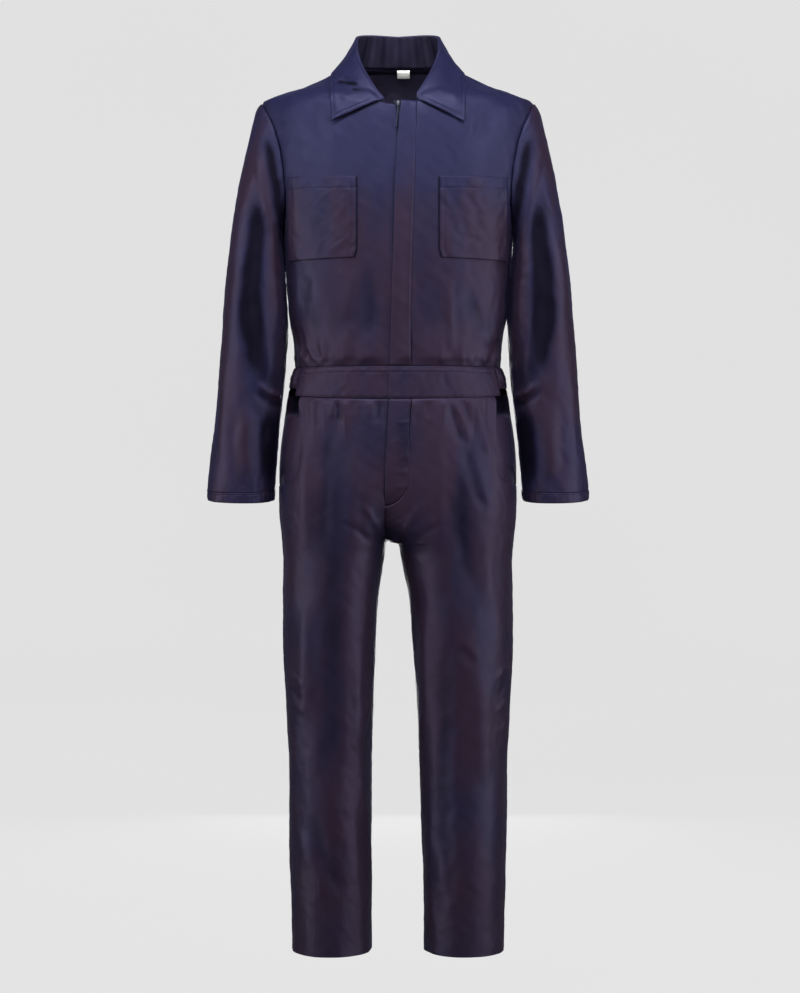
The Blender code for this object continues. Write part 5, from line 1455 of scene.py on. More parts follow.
# %% [markdown]
# ## Chest pockets
#
# A patch pocket is a hemmed square of cloth laid on the front and stitched round three sides. It takes the
# front's own points and creases, moved out by one layer, and its mouth stands off a little. Both long sides
# have two rows of stitches 8.4 mm apart, and the hem is stitched 19.5 mm below the mouth.

# %% Chest pockets
POCKET_WIDTH = POCKET_OUT - POCKET_IN
POCKET_DEPTH = POCKET_TOP - POCKET_BOTTOM
POCKET_ROWS = (0.0016, 0.0100)  # the two rows of stitches, from a long side
POCKET_HEM = 0.0195


def pocket_form(side):
    def form(u, v, height):
        z = POCKET_BOTTOM + POCKET_DEPTH * v - 0.0035 * (1 - v) * u + 0.0015 * v * u
        corner = 0.004 * ease((0.12 - v) / 0.12) * ease((0.12 - u) / 0.12)
        x = POCKET_IN + POCKET_WIDTH * u + corner
        return raised(torso, side * turn_at_x(x, z), z, height)

    return form


def pressed(edges, edge, place, depth=0.00045):
    """A row of stitches presses the cloth down along its line."""
    return -depth * bell(edges[edge] - place, 0.0011)


def pocket_relief(points, u, v, edges):
    height = POCKET_LIFT + CLOTH + 0.0016 * ease(v * 1.2 - 0.2) * np.sin(math.pi * u) + 0.0009 * u**3
    height = height + creases("chest", points) + unevenness(points)
    height = height + 0.0005 * rumple(points, 23) + pressed(edges, "high", POCKET_HEM)
    for row in POCKET_ROWS:
        height = height + pressed(edges, "first", row) + pressed(edges, "last", row)
    rim = sum(bell(edges[edge], 0.0008) for edge in ("first", "last", "low", "high"))
    return height - 0.0007 * np.minimum(rim, 1)


pocket_lines = (0, *POCKET_ROWS, *(POCKET_WIDTH - row for row in POCKET_ROWS), POCKET_WIDTH)
pocket_across = stations(POCKET_WIDTH, FINE, pocket_lines)
pocket_along = stations(POCKET_DEPTH, FINE, (0, POCKET_ROWS[0], POCKET_DEPTH - POCKET_HEM, POCKET_DEPTH))
for side, hand in SIDES:
    name = f"cloth_chest_pocket_{hand}"
    # Painted shade: a dark inner edge and a darker hem band, with the chest's toning rows
    pocket = lay(name, pocket_form(side), pocket_across, pocket_along, pocket_relief,
                 shade=toned_and_shaded("chesttone", 0.014, 0.0030, 0.0010, 0.0016))
    dress(pocket, f"chest_pocket_{hand}")
    rows_sewn = [line_beside(name, edge, row, 0.01, 0.985)
                 for edge in ("first", "last") for row in POCKET_ROWS]
    rows_sewn += [line_beside(name, "low", POCKET_ROWS[0], 0.02, 0.98), line_beside(name, "high", POCKET_HEM)]
    sew(f"stitches_chest_pocket_{hand}", *rows_sewn)


# %% [markdown]
# ## The waist
#
# The front band is plain and flat, stitched along both edges. Round the sides and back it turns into a casing
# with elastic inside, gathered into small upright waves.

# %% Front bands
def band_form(side):
    def form(u, v, height):
        top = WAIST_TOP - SEAM
        level = WAIST_BOTTOM - WAIST_DIP + (top - WAIST_BOTTOM + WAIST_DIP) * v
        edge = fly_edge(level) if side > 0 else zip_middle(level) - ZIP_EDGE
        first = turn_at_x(edge, level)
        last = side * (turn_at_x(ELASTIC_SEAM, WAIST_TOP) - 0.001)
        turn = first + (last - first) * u
        low = WAIST_BOTTOM - WAIST_DIP * np.cos(turn) ** 2
        return raised(torso, turn, low + (top - low) * v, height)

    return form


BAND_ROW, BAND_SECOND = 0.0026, 0.0102  # rows of stitches, from an edge
BAND_ROWS = (("high", BAND_ROW), ("high", BAND_SECOND), ("low", BAND_ROW))
BAND_END_ROW = 0.0235  # and an upright one on the left band


def band_relief(side):
    def relief(points, u, v, edges):
        lift = fly_height((points[..., 0] - fly_edge(points[..., 2])) / FLY_WIDTH) if side > 0 else 0.0002
        height = lift + 0.6 * unevenness(points) + 0.0004 * rumple(points, 31) + creases("band", points)
        for edge, row in BAND_ROWS:
            height = height + pressed(edges, edge, row)
        if side > 0:
            height = height + pressed(edges, "first", BAND_END_ROW)
        puckers = 0.0005 * ripple(u, 34, 4) * bell(edges["low"], 0.006)
        return height + puckers + (fold_over(edges) if side > 0 else 0)

    return relief


BAND_WIDTH = 0.175
BAND_TALL = WAIST_TOP - WAIST_BOTTOM
band_across = stations(BAND_WIDTH, 0.0024, (0, BAND_WIDTH))
band_lines = (0, BAND_ROW, BAND_TALL - BAND_SECOND, BAND_TALL - BAND_ROW, BAND_TALL)
band_along = stations(BAND_TALL, FINE, band_lines)
for side, hand in SIDES:
    name = f"cloth_waistband_{hand}"
    seams = ("last", "low", "high")
    dress(lay(name, band_form(side), band_across, band_along, band_relief(side), seams, wall=FLAP_WALL,
              tucks={"last": 1}), f"waistband_{hand}")
    rows_sewn = [line_beside(name, edge, row, 0.01, 0.99) for edge, row in BAND_ROWS]
    if side > 0:
        rows_sewn.append(line_beside(name, "first", BAND_END_ROW))
    sew(f"stitches_waistband_{hand}", *rows_sewn)


# %% Elastic casing
ELASTIC_SHEARS = (0.33, 0.66)  # two rows of stitching hold the elastic, as shares of its height


def elastic_form(u, v, height):
    start = turn_at_x(ELASTIC_SEAM, WAIST_TOP) + 0.001
    turn = start + (2 * math.pi - 2 * start) * u
    low = ELASTIC_BOTTOM - 0.008 * np.maximum(-np.cos(turn), 0)
    top = WAIST_TOP - SEAM
    return raised(torso, turn, low + (top - low) * v, height)


def elastic_relief(points, u, v, edges):
    uneven = 0.75 + 0.25 * np.sin(u * 61.0 + 2 * np.sin(u * 23.0))
    sway = 0.16 * np.sin(2 * math.pi * v + 9 * u)
    wave = ELASTIC_DEPTH * np.sin(2 * math.pi * ELASTIC_WAVES * u + sway) * uneven
    small = 0.0007 * np.sin(2 * math.pi * 2.7 * ELASTIC_WAVES * u + 3 * v) * np.sin(math.pi * v)
    ends = faded(u, 90)
    held = sum(bell(v - row, 0.045) for row in ELASTIC_SHEARS)
    belly = 0.0012 * np.sin(math.pi * v) - 0.0007 * held
    return (wave + small) * ends * (0.45 + 0.55 * np.sin(math.pi * v)) + belly


ELASTIC_ROUND = 0.62
elastic_across = stations(ELASTIC_ROUND, 0.00155)
elastic_along = stations(0.045, FINE, (0, 0.045))


def elastic_shade(points, u, v, height):
    """Stretched over the elastic, the cloth's crests are painted plummer as highlight, the hollows dark as
    shade.
    """
    return 1.6 * (height - 0.0008)


dress(lay("cloth_waist_elastic", elastic_form, elastic_across, elastic_along, elastic_relief, ("low", "high"),
          shade=elastic_shade), "waist_elastic")


# %% [markdown]
# ## The trousers
#
# Each leg has a front and a back. The fronts are cut away where the flap runs down on the left and outside
# the side pockets' mouths, where a facing shows instead. Columns of the grid are numbered as on the solid, so
# the cut-away corners fall on the same lines.

# %% Lines shared by the trouser pieces
FRONT_COLUMNS = 13
FLY_CELLS = 4  # columns of a front that lie below the flap
MOUTH_CELLS = 3  # columns that lie below a pocket's mouth
MOUTH_COLUMN = FRONT_COLUMNS - MOUTH_CELLS  # the column that runs along a mouth
LEG_TOP = -0.5688
LEG_HALF = 0.11  # width of half a leg, which turns a gap into a share
LINES_END = -0.74  # the flap's and the zip's lines are read no lower
BELOW_MOUTH = 0.78  # share across the leg at which the mouth's column runs on


def waist_gathers(z, top):
    """Strength of the gathers, which run down from the waist seam."""
    return 0.0026 * ease((top - z) / 0.011) * (1 - ease((top - z) / 0.095))


def fly_share(column):
    """A column's place across the flap."""
    return np.sin(np.clip(column / FLY_CELLS, 0, 1) * math.pi / 2)


def fly_sag(share_of_fly):
    """How far the J of the flap's stitching runs below its straight part."""
    return (FLY_CURVE_TOP - FLY_END) * np.sqrt(np.clip(1 - share_of_fly**2, 0, 1))


def mouth_sag(share_of_mouth):
    """How far the pocket mouth's curve runs below its straight part."""
    return (MOUTH_CURVE - MOUTH_END) * np.sqrt(np.clip(1 - (1 - share_of_mouth) ** 2, 0, 1))


def dipped(level, share):
    """Rows near the waist follow the dip of the band's lower edge."""
    near = 1 - ease((WAIST_BOTTOM - level) / 0.05)
    return level - WAIST_DIP * np.cos(share * math.pi / 2) ** 2 * near


# %% Trouser fronts
def leg_front_place(side, column, level):
    """The share across the leg and the height of a front's grid points."""
    high = np.maximum(level, LINES_END)
    edge = fly_edge(high) if side > 0 else zip_middle(high) - ZIP_EDGE
    under = ease((level + 0.715) / 0.015)
    first = share_at_x(side, "front", edge, level) * (under if side < 0 else 0)
    sewn = share_at_x(side, "front", fly_edge(high) + FLY_LOWER_WIDTH + SEAM, high)
    at_mouth = share_at_x(side, "front", side * read("mouth", "x", np.maximum(level, MOUTH_END)), level)
    at_mouth = at_mouth + (BELOW_MOUTH - at_mouth) * ease((MOUTH_END - level) / 0.10)
    flies = FLY_CELLS if side > 0 else 0
    fly_part = fly_share(column)
    main = np.clip((column - flies) / (MOUTH_COLUMN - flies), 0, 1)
    mouth_part = np.clip((column - FRONT_COLUMNS + MOUTH_CELLS) / MOUTH_CELLS, 0, 1)
    left = sewn if side > 0 else first
    share = left + (at_mouth - left) * main + (1 - SEAM / 2 / LEG_HALF - at_mouth) * mouth_part
    share = np.where(column < flies, sewn * fly_part, share)
    sag = mouth_sag(mouth_part) * (1 - ease((MOUTH_CURVE - level) / 0.085))
    if side > 0:
        above_curve = 1 - ease((FLY_CURVE_TOP - level) / 0.110)
        sag = sag + np.where(column < flies, fly_sag(fly_part), 0) * above_curve
    return share, dipped(level, share) - sag


def leg_front_form(side):
    def form(u, v, height):
        share, z = leg_front_place(side, u, v)
        return legs_raised(side, "front", share, z, height)

    return form


def leg_front_relief(side):
    def relief(points, u, v, edges):
        share, z = leg_front_place(side, u, v)
        top = dipped(np.full_like(z, LEG_TOP), share)
        across = u / FRONT_COLUMNS
        strength = waist_gathers(z, top) * faded(across, 5)
        height = creases("thigh", points) * off_seams(edges, 0.012, 0.014)
        height = height + strength * (ripple(across, FRONT_COLUMNS, 3 + side) + 0.4)
        fine = 0.35 * waist_gathers(z, top) * ripple(across, 3.4 * FRONT_COLUMNS, 6) * ease(across * 8)
        ribs = 0.00030 * np.sin(2 * math.pi * points[..., 0] / 0.0075) * ease((-1.36 - z) / 0.05)
        ribs = ribs * bell(points[..., 0] * side - 0.128, 0.03) * ease((z - HEM) / 0.06)
        return height + fine + ribs + unevenness(points)

    return relief


def leg_front_skip(side):
    """Grid cells that are cut away: under the flap on the left, and outside the pocket's mouth."""
    def skip(column, next_column, level):
        under_fly = (side > 0) & (next_column < FLY_CELLS + 1e-6) & (level > FLY_CURVE_TOP - 1e-6)
        at_mouth = (column > MOUTH_COLUMN - 1e-6) & (level > MOUTH_CURVE - 1e-6)
        return under_fly | at_mouth

    return skip


front_columns = np.unique(np.concatenate([
    np.linspace(0, FLY_CELLS, 16), np.linspace(FLY_CELLS, MOUTH_COLUMN, 40),
    np.linspace(MOUTH_COLUMN, FRONT_COLUMNS, 22), [0.04, 0.1, FLY_CELLS + 0.03, FLY_CELLS + 0.08],
    [MOUTH_COLUMN - 0.08, MOUTH_COLUMN - 0.03, FRONT_COLUMNS - 0.1, FRONT_COLUMNS - 0.04],
]))
leg_levels = np.unique(np.round(np.concatenate([
    np.linspace(HEM, -0.86, 172), np.linspace(-0.86, CROTCH, 16), np.linspace(CROTCH, -0.76, 24),
    np.linspace(-0.76, FLY_CURVE_TOP, 16), np.linspace(FLY_CURVE_TOP, MOUTH_CURVE, 5),
    np.linspace(MOUTH_CURVE, LEG_TOP, 50), LEG_TOP - np.array([0.0006, 0.0014, 0.0024]),
    HEM + np.array([0.0006, 0.0015]),
]), 6))
LEG_EVEN = 0.016  # metres up and down over which the depth is evened where the legs part
LEG_EVEN_MOST = 0.012  # a larger difference means that no cloth lies above or below, so it stays


def evened(side):
    """Evens out the legs' depth where they part, so no line runs across the cloth."""
    def soften(points, edges):
        near = np.abs(points[:, 0, 2] - CROTCH) < 0.06
        x, z = points[near][..., 0], points[near][..., 2]

        def depth(level):
            return legs_raised(side, "front", share_at_x(side, "front", x, level), level, 0 * x)[..., 1]

        even = sum(depth(z + share * LEG_EVEN) for share in np.linspace(-1, 1, 9)) / 9
        fade = bell(z - CROTCH + 0.006, 0.022) * ease((edges["first"][near] - 0.006) / 0.02)
        shift = even - depth(z)
        points = points.copy()
        points[near, :, 1] += shift * bell(shift, LEG_EVEN_MOST) * fade
        return points

    return soften


for side, hand in SIDES:
    name = f"leg_front_{hand}"
    crossing = 1 if side > 0 else np.where(leg_levels < CROTCH, 1, 0)
    # Painted shade from the thigh's toning rows, in long dark streaks down the legs
    panel = lay(f"cloth_{name}", leg_front_form(side), front_columns, leg_levels, leg_front_relief(side),
                ("last", "high"), skip=leg_front_skip(side), tucks={"first": crossing, "last": 1, "high": 1},
                soften=evened(side), shade=toned_and_shaded("thightone"))
    dress(panel, name)


# %% Trouser backs
LEG_BACK_TOP = ELASTIC_BOTTOM - 0.0083


def leg_back_place(u, v):
    gap = SEAM / 2 / LEG_HALF
    share = gap + (1 - 2 * gap) * u
    rise = 0.008 * share * share
    return share, v + rise * (1 - ease((LEG_BACK_TOP - v) / 0.04)), LEG_BACK_TOP + rise


def leg_back_form(side):
    def form(u, v, height):
        share, z, _ = leg_back_place(u, v)
        return legs_raised(side, "back", share, z, height)

    return form


def leg_back_relief(side):
    def relief(points, u, v, edges):
        share, z, top = leg_back_place(u, v)
        strength = waist_gathers(z, top) * faded(u, 6)
        height = creases("seat", points) * off_seams(edges, 0.012, 0.014)
        return height + strength * (1.2 * ripple(u, 11, 5 + side) + 0.5) + unevenness(points)

    return relief


back_leg_levels = np.unique(np.concatenate([leg_levels[leg_levels < LEG_BACK_TOP - 0.004], [
    LEG_BACK_TOP, LEG_BACK_TOP - 0.0006, LEG_BACK_TOP - 0.0014, LEG_BACK_TOP - 0.0028]]))
across_leg_back = stations(0.25, GRAIN, (0, 0.25))
for side, hand in SIDES:
    name = f"leg_back_{hand}"
    tucks = {"first": np.where(back_leg_levels > CROTCH, 1, 0), "high": 1} if side > 0 else {"high": 1}
    panel = lay(f"cloth_{name}", leg_back_form(side), across_leg_back, back_leg_levels, leg_back_relief(side),
                ("last", "high"), tucks=tucks)
    dress(panel, name)


# %% Lower flap
FLY_LOWER_TOP = -0.5758


def fly_lower_place(u, v):
    across = fly_share(u * FLY_CELLS)
    low = ease((-0.65 - v) / (-0.65 - FLY_CURVE_TOP))
    z = v - fly_sag(across) * low + 1.5 * SEAM * low
    sewn = share_at_x(1, "front", fly_edge(v) + FLY_LOWER_WIDTH, v)
    return across, sewn * across, z


def fly_lower_form(u, v, height):
    across, share, z = fly_lower_place(u, v)
    return legs_raised(1, "front", share, z, height)


def fly_lower_relief(points, u, v, edges):
    across, share, z = fly_lower_place(u, v)
    lift = fly_height(across) * (1 - ease((MOUTH_CURVE - v) / (MOUTH_CURVE - FLY_CURVE_TOP)))
    folds = creases("thigh", points) * ease(edges["first"] / 0.012)
    small = creases("fly", points)
    return lift + folds + small + unevenness(points) + fold_over(edges)


fly_lower_levels = np.unique(np.concatenate([np.linspace(FLY_CURVE_TOP, FLY_LOWER_TOP, 62), [
    FLY_LOWER_TOP - 0.0006, FLY_LOWER_TOP - 0.0014]]))
# Painted shade along the lower flap's free edge and from the thigh's toning rows
flap = lay("cloth_fly_lower", fly_lower_form, stations(0.04, 0.0018, (0, 0.04)), fly_lower_levels,
           fly_lower_relief, ("last", "high", "low"), wall=FLAP_WALL, tucks={"last": 1, "low": 1, "high": 1},
           shade=toned_and_shaded("thightone", 0.010))
dress(flap, "fly_lower")


# %% [markdown]
# ## Side pockets
#
# Behind each slanted mouth a facing shows. Below the waistband it dips in where the mouth gapes, which leaves
# the dark hollow at the hip, and the hollow's colour is painted darker too, as painted shade.

# %% Pocket facings
MOUTH_ROWS = (0.002, 0.008)  # rows of stitches inside a mouth's edge
COLUMN_WIDTH = 0.0125
FACING_HALF = 0.115  # width of half the hips, which turns a gap into a share
FACING_START = 0.018  # how far inside the mouth's edge a facing starts
GAPE = 0.016  # how far a facing dips where its mouth gapes
GAPE_FROM, GAPE_TO = -0.606, -0.560


def facing_form(side):
    def form(u, v, height):
        seam = 1 - SEAM / 2 / FACING_HALF
        first = share_at_x(side, "front", side * (read("mouth", "x", v) - FACING_START), v)
        return legs_raised(side, "front", first + (seam - first) * u, v, height)

    return form


def facing_relief(points, u, v, edges):
    below = ease((-0.672 - 0.034 * u**2 - 0.018 * u**6 - v) / 0.013)
    above = ease((v + 0.572) / 0.010)
    flush = (1 - u**5) * (1 - below) + below
    recess = FACING_RECESS * flush + 0.0022 * below
    recess = recess + (FACING_UNDER_BAND - recess) * above
    gape = GAPE * ease((v - GAPE_FROM) / 0.014) * (1 - ease((v - GAPE_TO) / 0.010))
    return -recess - gape * np.sin(math.pi * u) ** 0.7 + 0.6 * unevenness(points)


def facing_shade(points, u, v, height):
    """Painted shade where the mouth gapes: the facing's own dips only darken it there."""
    return np.clip(height + 0.0045, -0.0080, -0.0004) + 0.4 * unevenness(points)


for side, hand in SIDES:
    facing = lay(f"cloth_pocket_facing_{hand}", facing_form(side), stations(0.058, FINE, (0.058,)),
                 np.linspace(FACING_LOW, FACING_TOP, 70), facing_relief, ("last",), tucks={"last": 1},
                 shade=facing_shade)
    dress(facing, f"pocket_facing_{hand}")


# %% Stitches along the pocket mouths
def mouth_line(hand, inset):
    """Points along a pocket mouth's front edge, a little inside it, down round its curve."""
    levels = np.linspace(LEG_TOP - 0.004, MOUTH_CURVE, 60)
    turns = np.linspace(0, math.pi / 2, 24)[1:]
    straight = MOUTH_COLUMN - inset / COLUMN_WIDTH + 0 * levels
    columns = np.concatenate([straight, MOUTH_COLUMN + MOUTH_CELLS * (1 - np.cos(turns)) * 0.96])
    heights = np.concatenate([levels, MOUTH_CURVE - inset - 0 * turns])
    laid = LAID[f"cloth_leg_front_{hand}"]
    place = np.interp(columns, front_columns, np.arange(front_columns.size))
    row = np.interp(heights, leg_levels, np.arange(leg_levels.size))
    left, low = np.floor(place).astype(int), np.floor(row).astype(int)
    aside, up = (place - left)[:, None], (row - low)[:, None]

    def between_cells(cells):
        right = np.minimum(left + 1, front_columns.size - 1)
        high = np.minimum(low + 1, leg_levels.size - 1)
        lower = cells[low, left] * (1 - aside) + cells[low, right] * aside
        return lower * (1 - up) + (cells[high, left] * (1 - aside) + cells[high, right] * aside) * up

    return between_cells(laid["points"]), unit(between_cells(laid["outward"]))


for side, hand in SIDES:
    sew(f"stitches_pocket_mouth_{hand}", *(mouth_line(hand, row) for row in MOUTH_ROWS))


# %% [markdown]
# ## Sleeves and cuffs
#
# A sleeve is one ring of cloth, sewn to the armhole. It hangs beside the body with a soft bend at the elbow,
# so its long folds run from the shoulder down its front, and a short curved crease lies inside the elbow. The
# cuff is a plain turned hem, stitched once.

# %% Sleeves
def sleeve_form(side):
    """Points of a sleeve, moved out by a height, on the wearer's left or mirrored to the right."""
    def form(u, v, height):
        turn = 2 * math.pi * u
        round_it = sleeve(turn + STEP, v) - sleeve(turn - STEP, v)
        down_it = sleeve(turn, v + STEP) - sleeve(turn, np.maximum(v - STEP, 0))
        points = sleeve(turn, v) + unit(np.cross(down_it, round_it)) * np.asarray(height)[..., None]
        return points * np.array([side, 1, 1])

    return form


def sleeve_relief(side):
    def relief(points, u, v, edges):
        turn = 2 * math.pi * u + 0 * v
        height = creases("sleeve", points, side) * ease(np.sin(turn) * 2)
        height = height + creases("elbow", points, side) * ease(-np.sin(turn) * 2)
        cap = ease((0.10 - v) / 0.10) * ease(-np.cos(turn) * 2) * 0.0016
        puckers = 0.0005 * np.sin(46 * turn / 2 + 2 * side) * bell(v, 0.05)
        held = ease(v / 0.03)
        return (height + 1.3 * unevenness(points)) * held + cap * ease(v / 0.01) + puckers * ease(v / 0.006)

    return relief


def sleeve_painted_light(side):
    # Painted light: streaks of painted shade and redder painted highlight down the sleeve's front
    def shade(points, u, v, height):
        ahead = ease(np.sin(2 * math.pi * u + 0 * v) * 2)
        return height + creases("sleevetone", points, side) * ahead

    return shade


sleeve_ring = np.linspace(0, 1, 115)
sleeve_rows = np.unique(np.concatenate([[0, 0.0012, 0.003, 0.006], np.linspace(0, CUFF_START, 156),
                                        [CUFF_START - 0.002]]))
for side, hand in SIDES:
    tube = lay(f"cloth_sleeve_{hand}", sleeve_form(side), sleeve_ring, sleeve_rows, sleeve_relief(side),
               ("low",), ring=True, tucks={"low": 1, "high": 1}, shade=sleeve_painted_light(side))
    dress(tube, f"sleeve_{hand}")


# %% Cuffs
CUFF_WALL = 0.0018
CUFF_STITCH = 0.0030  # from the cuff's upper edge
CUFF_ON = CUFF_START + 0.0008  # where the cuff starts along the sleeve


def cuff_relief(side):
    def relief(points, u, v, edges):
        rim = bell(edges["high"], 0.0012) + 0.7 * bell(edges["low"], 0.0010)
        puckers = 0.00035 * np.sin(2 * math.pi * 34 * u) * ease(edges["high"] / 0.004)
        height = 1.3 * unevenness(points) + 0.0004 * rumple(points, 41) + puckers
        return height + CUFF_LIFT - 0.0008 * rim + pressed(edges, "low", CUFF_STITCH)

    return relief


cuff_rows = CUFF_ON + (1 - CUFF_ON) * stations(0.019, 0.0020, (0, CUFF_STITCH, 0.019))
for side, hand in SIDES:
    name = f"cloth_cuff_{hand}"
    dress(lay(name, sleeve_form(side), sleeve_ring, cuff_rows, cuff_relief(side), ring=True, wall=CUFF_WALL),
          f"cuff_{hand}")
    sew(f"stitches_cuff_{hand}", line_beside(name, "low", CUFF_STITCH))


# %% [markdown]
# ## The collar
#
# The collar is one band. It stands up from the neck seam, rolls over, and falls outside, with two pointed
# leaves in front. It is described by the angle from the centre back: where its roll lies and where its outer
# edge lies. The fall is pushed clear of the shoulders, then stitched 7 mm inside its edge.

# %% Neck edge and the middle of the collar's cloth
def neckline():
    """The neck edge from the centre back, as turns and points, on the wearer's left side."""
    back = np.linspace(math.pi, math.pi / 2, 40)
    front = -0.0008 - np.linspace(0, 1, 60) ** 1.5 * (-0.0008 - NECK_LOW)
    points = np.concatenate([torso(back, neck_rise(back)), torso(turn_at_neck(front), front)])
    depth = np.where(points[:, 1] > 0, NECK_BACK, NECK_FRONT)
    turns = np.arctan2(points[:, 0] / NECK_HALF, points[:, 1] / depth)
    return np.degrees(turns), points


def push_off(points, clear):
    """Moves points out until they lie at least so far from the torso."""
    points = points.copy()
    for _ in range(4):
        def ratio(p):
            z = np.minimum(p[..., 2], 0.0)
            half, square = read("torso", "half", z), read("torso", "square", z)
            depth = np.where(p[..., 1] < 0, read("torso", "front", z), read("torso", "back", z))
            squared = 2 + 9 * square
            across = np.abs(p[..., 0] / half) ** squared
            return (across + np.abs(p[..., 1] / depth) ** squared) ** (1 / squared)

        here = ratio(points)
        slope = np.stack([
            (ratio(points + STEP * np.eye(3)[k]) - ratio(points - STEP * np.eye(3)[k])) / (2 * STEP)
            for k in range(3)
        ], -1)
        steep = np.maximum(np.linalg.norm(slope, axis=-1), 1e-6)
        short = np.maximum(clear - (here - 1) / steep, 0) * ease((0.010 - points[..., 2]) / 0.010)
        points = points + slope / steep[..., None] * short[..., None]
    return points


NECK_EDGE = neckline()


def collar_middle(turn, part):
    """The middle of the collar's cloth: part 0..1 up the stand, 1..2 over the roll, 2..3 down the fall."""
    side = np.sign(turn)
    angle = np.abs(turn)
    turns, edge = NECK_EDGE
    order = np.argsort(turns)
    foot = np.stack([np.interp(angle, turns[order], edge[order, k]) for k in range(3)], -1)
    foot = foot * np.array([0.992, 0.992, 1]) + np.array([0, 0, 0.0006])

    stretch = (TABLES["collar"]["turn"][-1] - COLLAR_SAME) / (COLLAR_END[1] - COLLAR_SAME)
    stretched = COLLAR_SAME + (angle - COLLAR_SAME) * stretch
    angle = np.where((side > 0) & (angle > COLLAR_SAME), stretched, angle)

    def key(name):
        return np.stack([read("collar", f"{name}_{k}", angle, "turn") for k in "xyz"], -1)

    roll, rim = key("roll"), key("edge")
    kept_out = np.maximum(roll[..., 0], COLLAR_LEFT_EDGE)
    roll[..., 0] = np.where((side > 0) & (angle > 120), kept_out, roll[..., 0])
    away = unit(np.stack([roll[..., 0] / NECK_HALF**2, roll[..., 1] / NECK_FRONT**2, 0 * angle], -1))
    front = ease((angle - 105) / 50)
    up = np.array([0, 0, 1.0])
    stand_top = roll - away * COLLAR_FOLD - up * 0.001
    fall_top = roll + away * COLLAR_FOLD - up * 0.001
    stand = foot + (stand_top - foot) * np.clip(part, 0, 1)[..., None]
    bend = math.pi * np.clip(part - 1, 0, 1)[..., None]
    over = roll - up * 0.001 - away * COLLAR_FOLD * np.cos(bend) + up * COLLAR_FOLD * np.sin(bend)
    down = np.clip(part - 2, 0, 1)
    fall = fall_top + (rim - fall_top) * down[..., None]
    fall = fall + away * (-0.0025 * np.sin(math.pi * down) * (1 - front))[..., None]
    end = ease((angle - 134) / 22)
    clear = (COLLAR_CLEAR + COLLAR_SPRING * end * down) * ease(down / 0.15)
    fall = np.where((down > 0.02)[..., None], push_off(fall, clear), fall)
    part = part[..., None]
    points = np.where(part < 1, stand, np.where(part <= 2, over, fall))
    return points * np.stack([np.where(side < 0, -1.0, 1.0), 1 + 0 * angle, 1 + 0 * angle], -1)


# %% Collar
COLLAR_STITCH = 0.0070
COLLAR_CLOSE = np.array([0.5, 1.2, 2.2, 5.6, 6.4, 7.2])  # degrees from a front end, round its row of stitches


def collar_form(u, v, height):
    """u is the signed angle from the centre back, v runs up the stand, over the roll and down the fall."""
    u, v = np.broadcast_arrays(u, v)
    round_it = collar_middle(u + 0.4, v) - collar_middle(u - 0.4, v)
    above = collar_middle(u, np.maximum(v - 0.02, 0))
    normal = unit(np.cross(round_it, collar_middle(u, np.minimum(v + 0.02, 3)) - above))
    return collar_middle(u, v) + normal * (COLLAR_WALL / 2 + height)[..., None]


def collar_relief(points, u, v, edges):
    on_fall = ease((v - 2.0) / 0.4)
    in_stand = ease((1.0 - v) / 0.5)
    soft = 0.0010 * drape(points, 17, 0.045, 0.06) * on_fall + 0.00045 * rumple(points, 19) * on_fall
    leaf = creases("leaf", points) * on_fall
    folds_inside = 0.0005 * np.sin(np.radians(u) * 9 + 1.1) * in_stand * ease((110 - np.abs(u)) / 30)
    folds_inside = folds_inside * ease(v / 0.3)
    rim = sum(bell(edges[edge], 0.0011) for edge in ("first", "last", "high"))
    rim = rim * ease((v - 1.2) / 0.6)
    row = pressed(edges, "high", COLLAR_STITCH, 0.0005)
    ends = pressed(edges, "first", COLLAR_STITCH, 0.0005) + pressed(edges, "last", COLLAR_STITCH, 0.0005)
    return soft + leaf + folds_inside - 0.0007 * np.minimum(rim, 1) + row + ends * on_fall


collar_turns = np.unique(np.concatenate([
    np.linspace(-COLLAR_END[-1], COLLAR_END[1], 190),
    COLLAR_CLOSE - COLLAR_END[-1], COLLAR_END[1] - COLLAR_CLOSE,
]))
collar_parts = np.unique(np.concatenate([
    np.linspace(0, 1, 12), np.linspace(1, 2, 11), np.linspace(2, 3, 30), [2.83, 2.86, 2.89, 2.985, 2.995],
]))


def collar_shade(points, u, v, height):
    """Painted shade in the fall's troughs and on the stand, with darker upright folds, and two painted
    highlights.
    """
    in_stand = 1 - ease((v - 0.98) / 0.18)
    stand = 0.0064 + 0.0004 * np.sin(np.radians(u) * 13 + 0.6) + 0.0004 * np.sin(np.radians(u) * 31)
    return height + creases("leaftone", points) * ease((v - 2.0) / 0.4) - stand * in_stand


# The stand shows the inside finish and is painted dark by collar_shade, as shade inside the neck
collar = lay("cloth_collar", collar_form, collar_turns, collar_parts, collar_relief, wall=COLLAR_WALL,
             shade=collar_shade, fanned=True, duller=lambda v: v < 1.15)
dress(collar, "collar")
sew("stitches_collar", line_beside("cloth_collar", "high", COLLAR_STITCH, 0.012, 0.988),
    line_beside("cloth_collar", "first", COLLAR_STITCH, 0.52, 0.90),
    line_beside("cloth_collar", "last", COLLAR_STITCH, 0.52, 0.90))


# %% [markdown]
# ## The neck label
#
# A small woven label hangs inside the back of the neck. It is left bare.

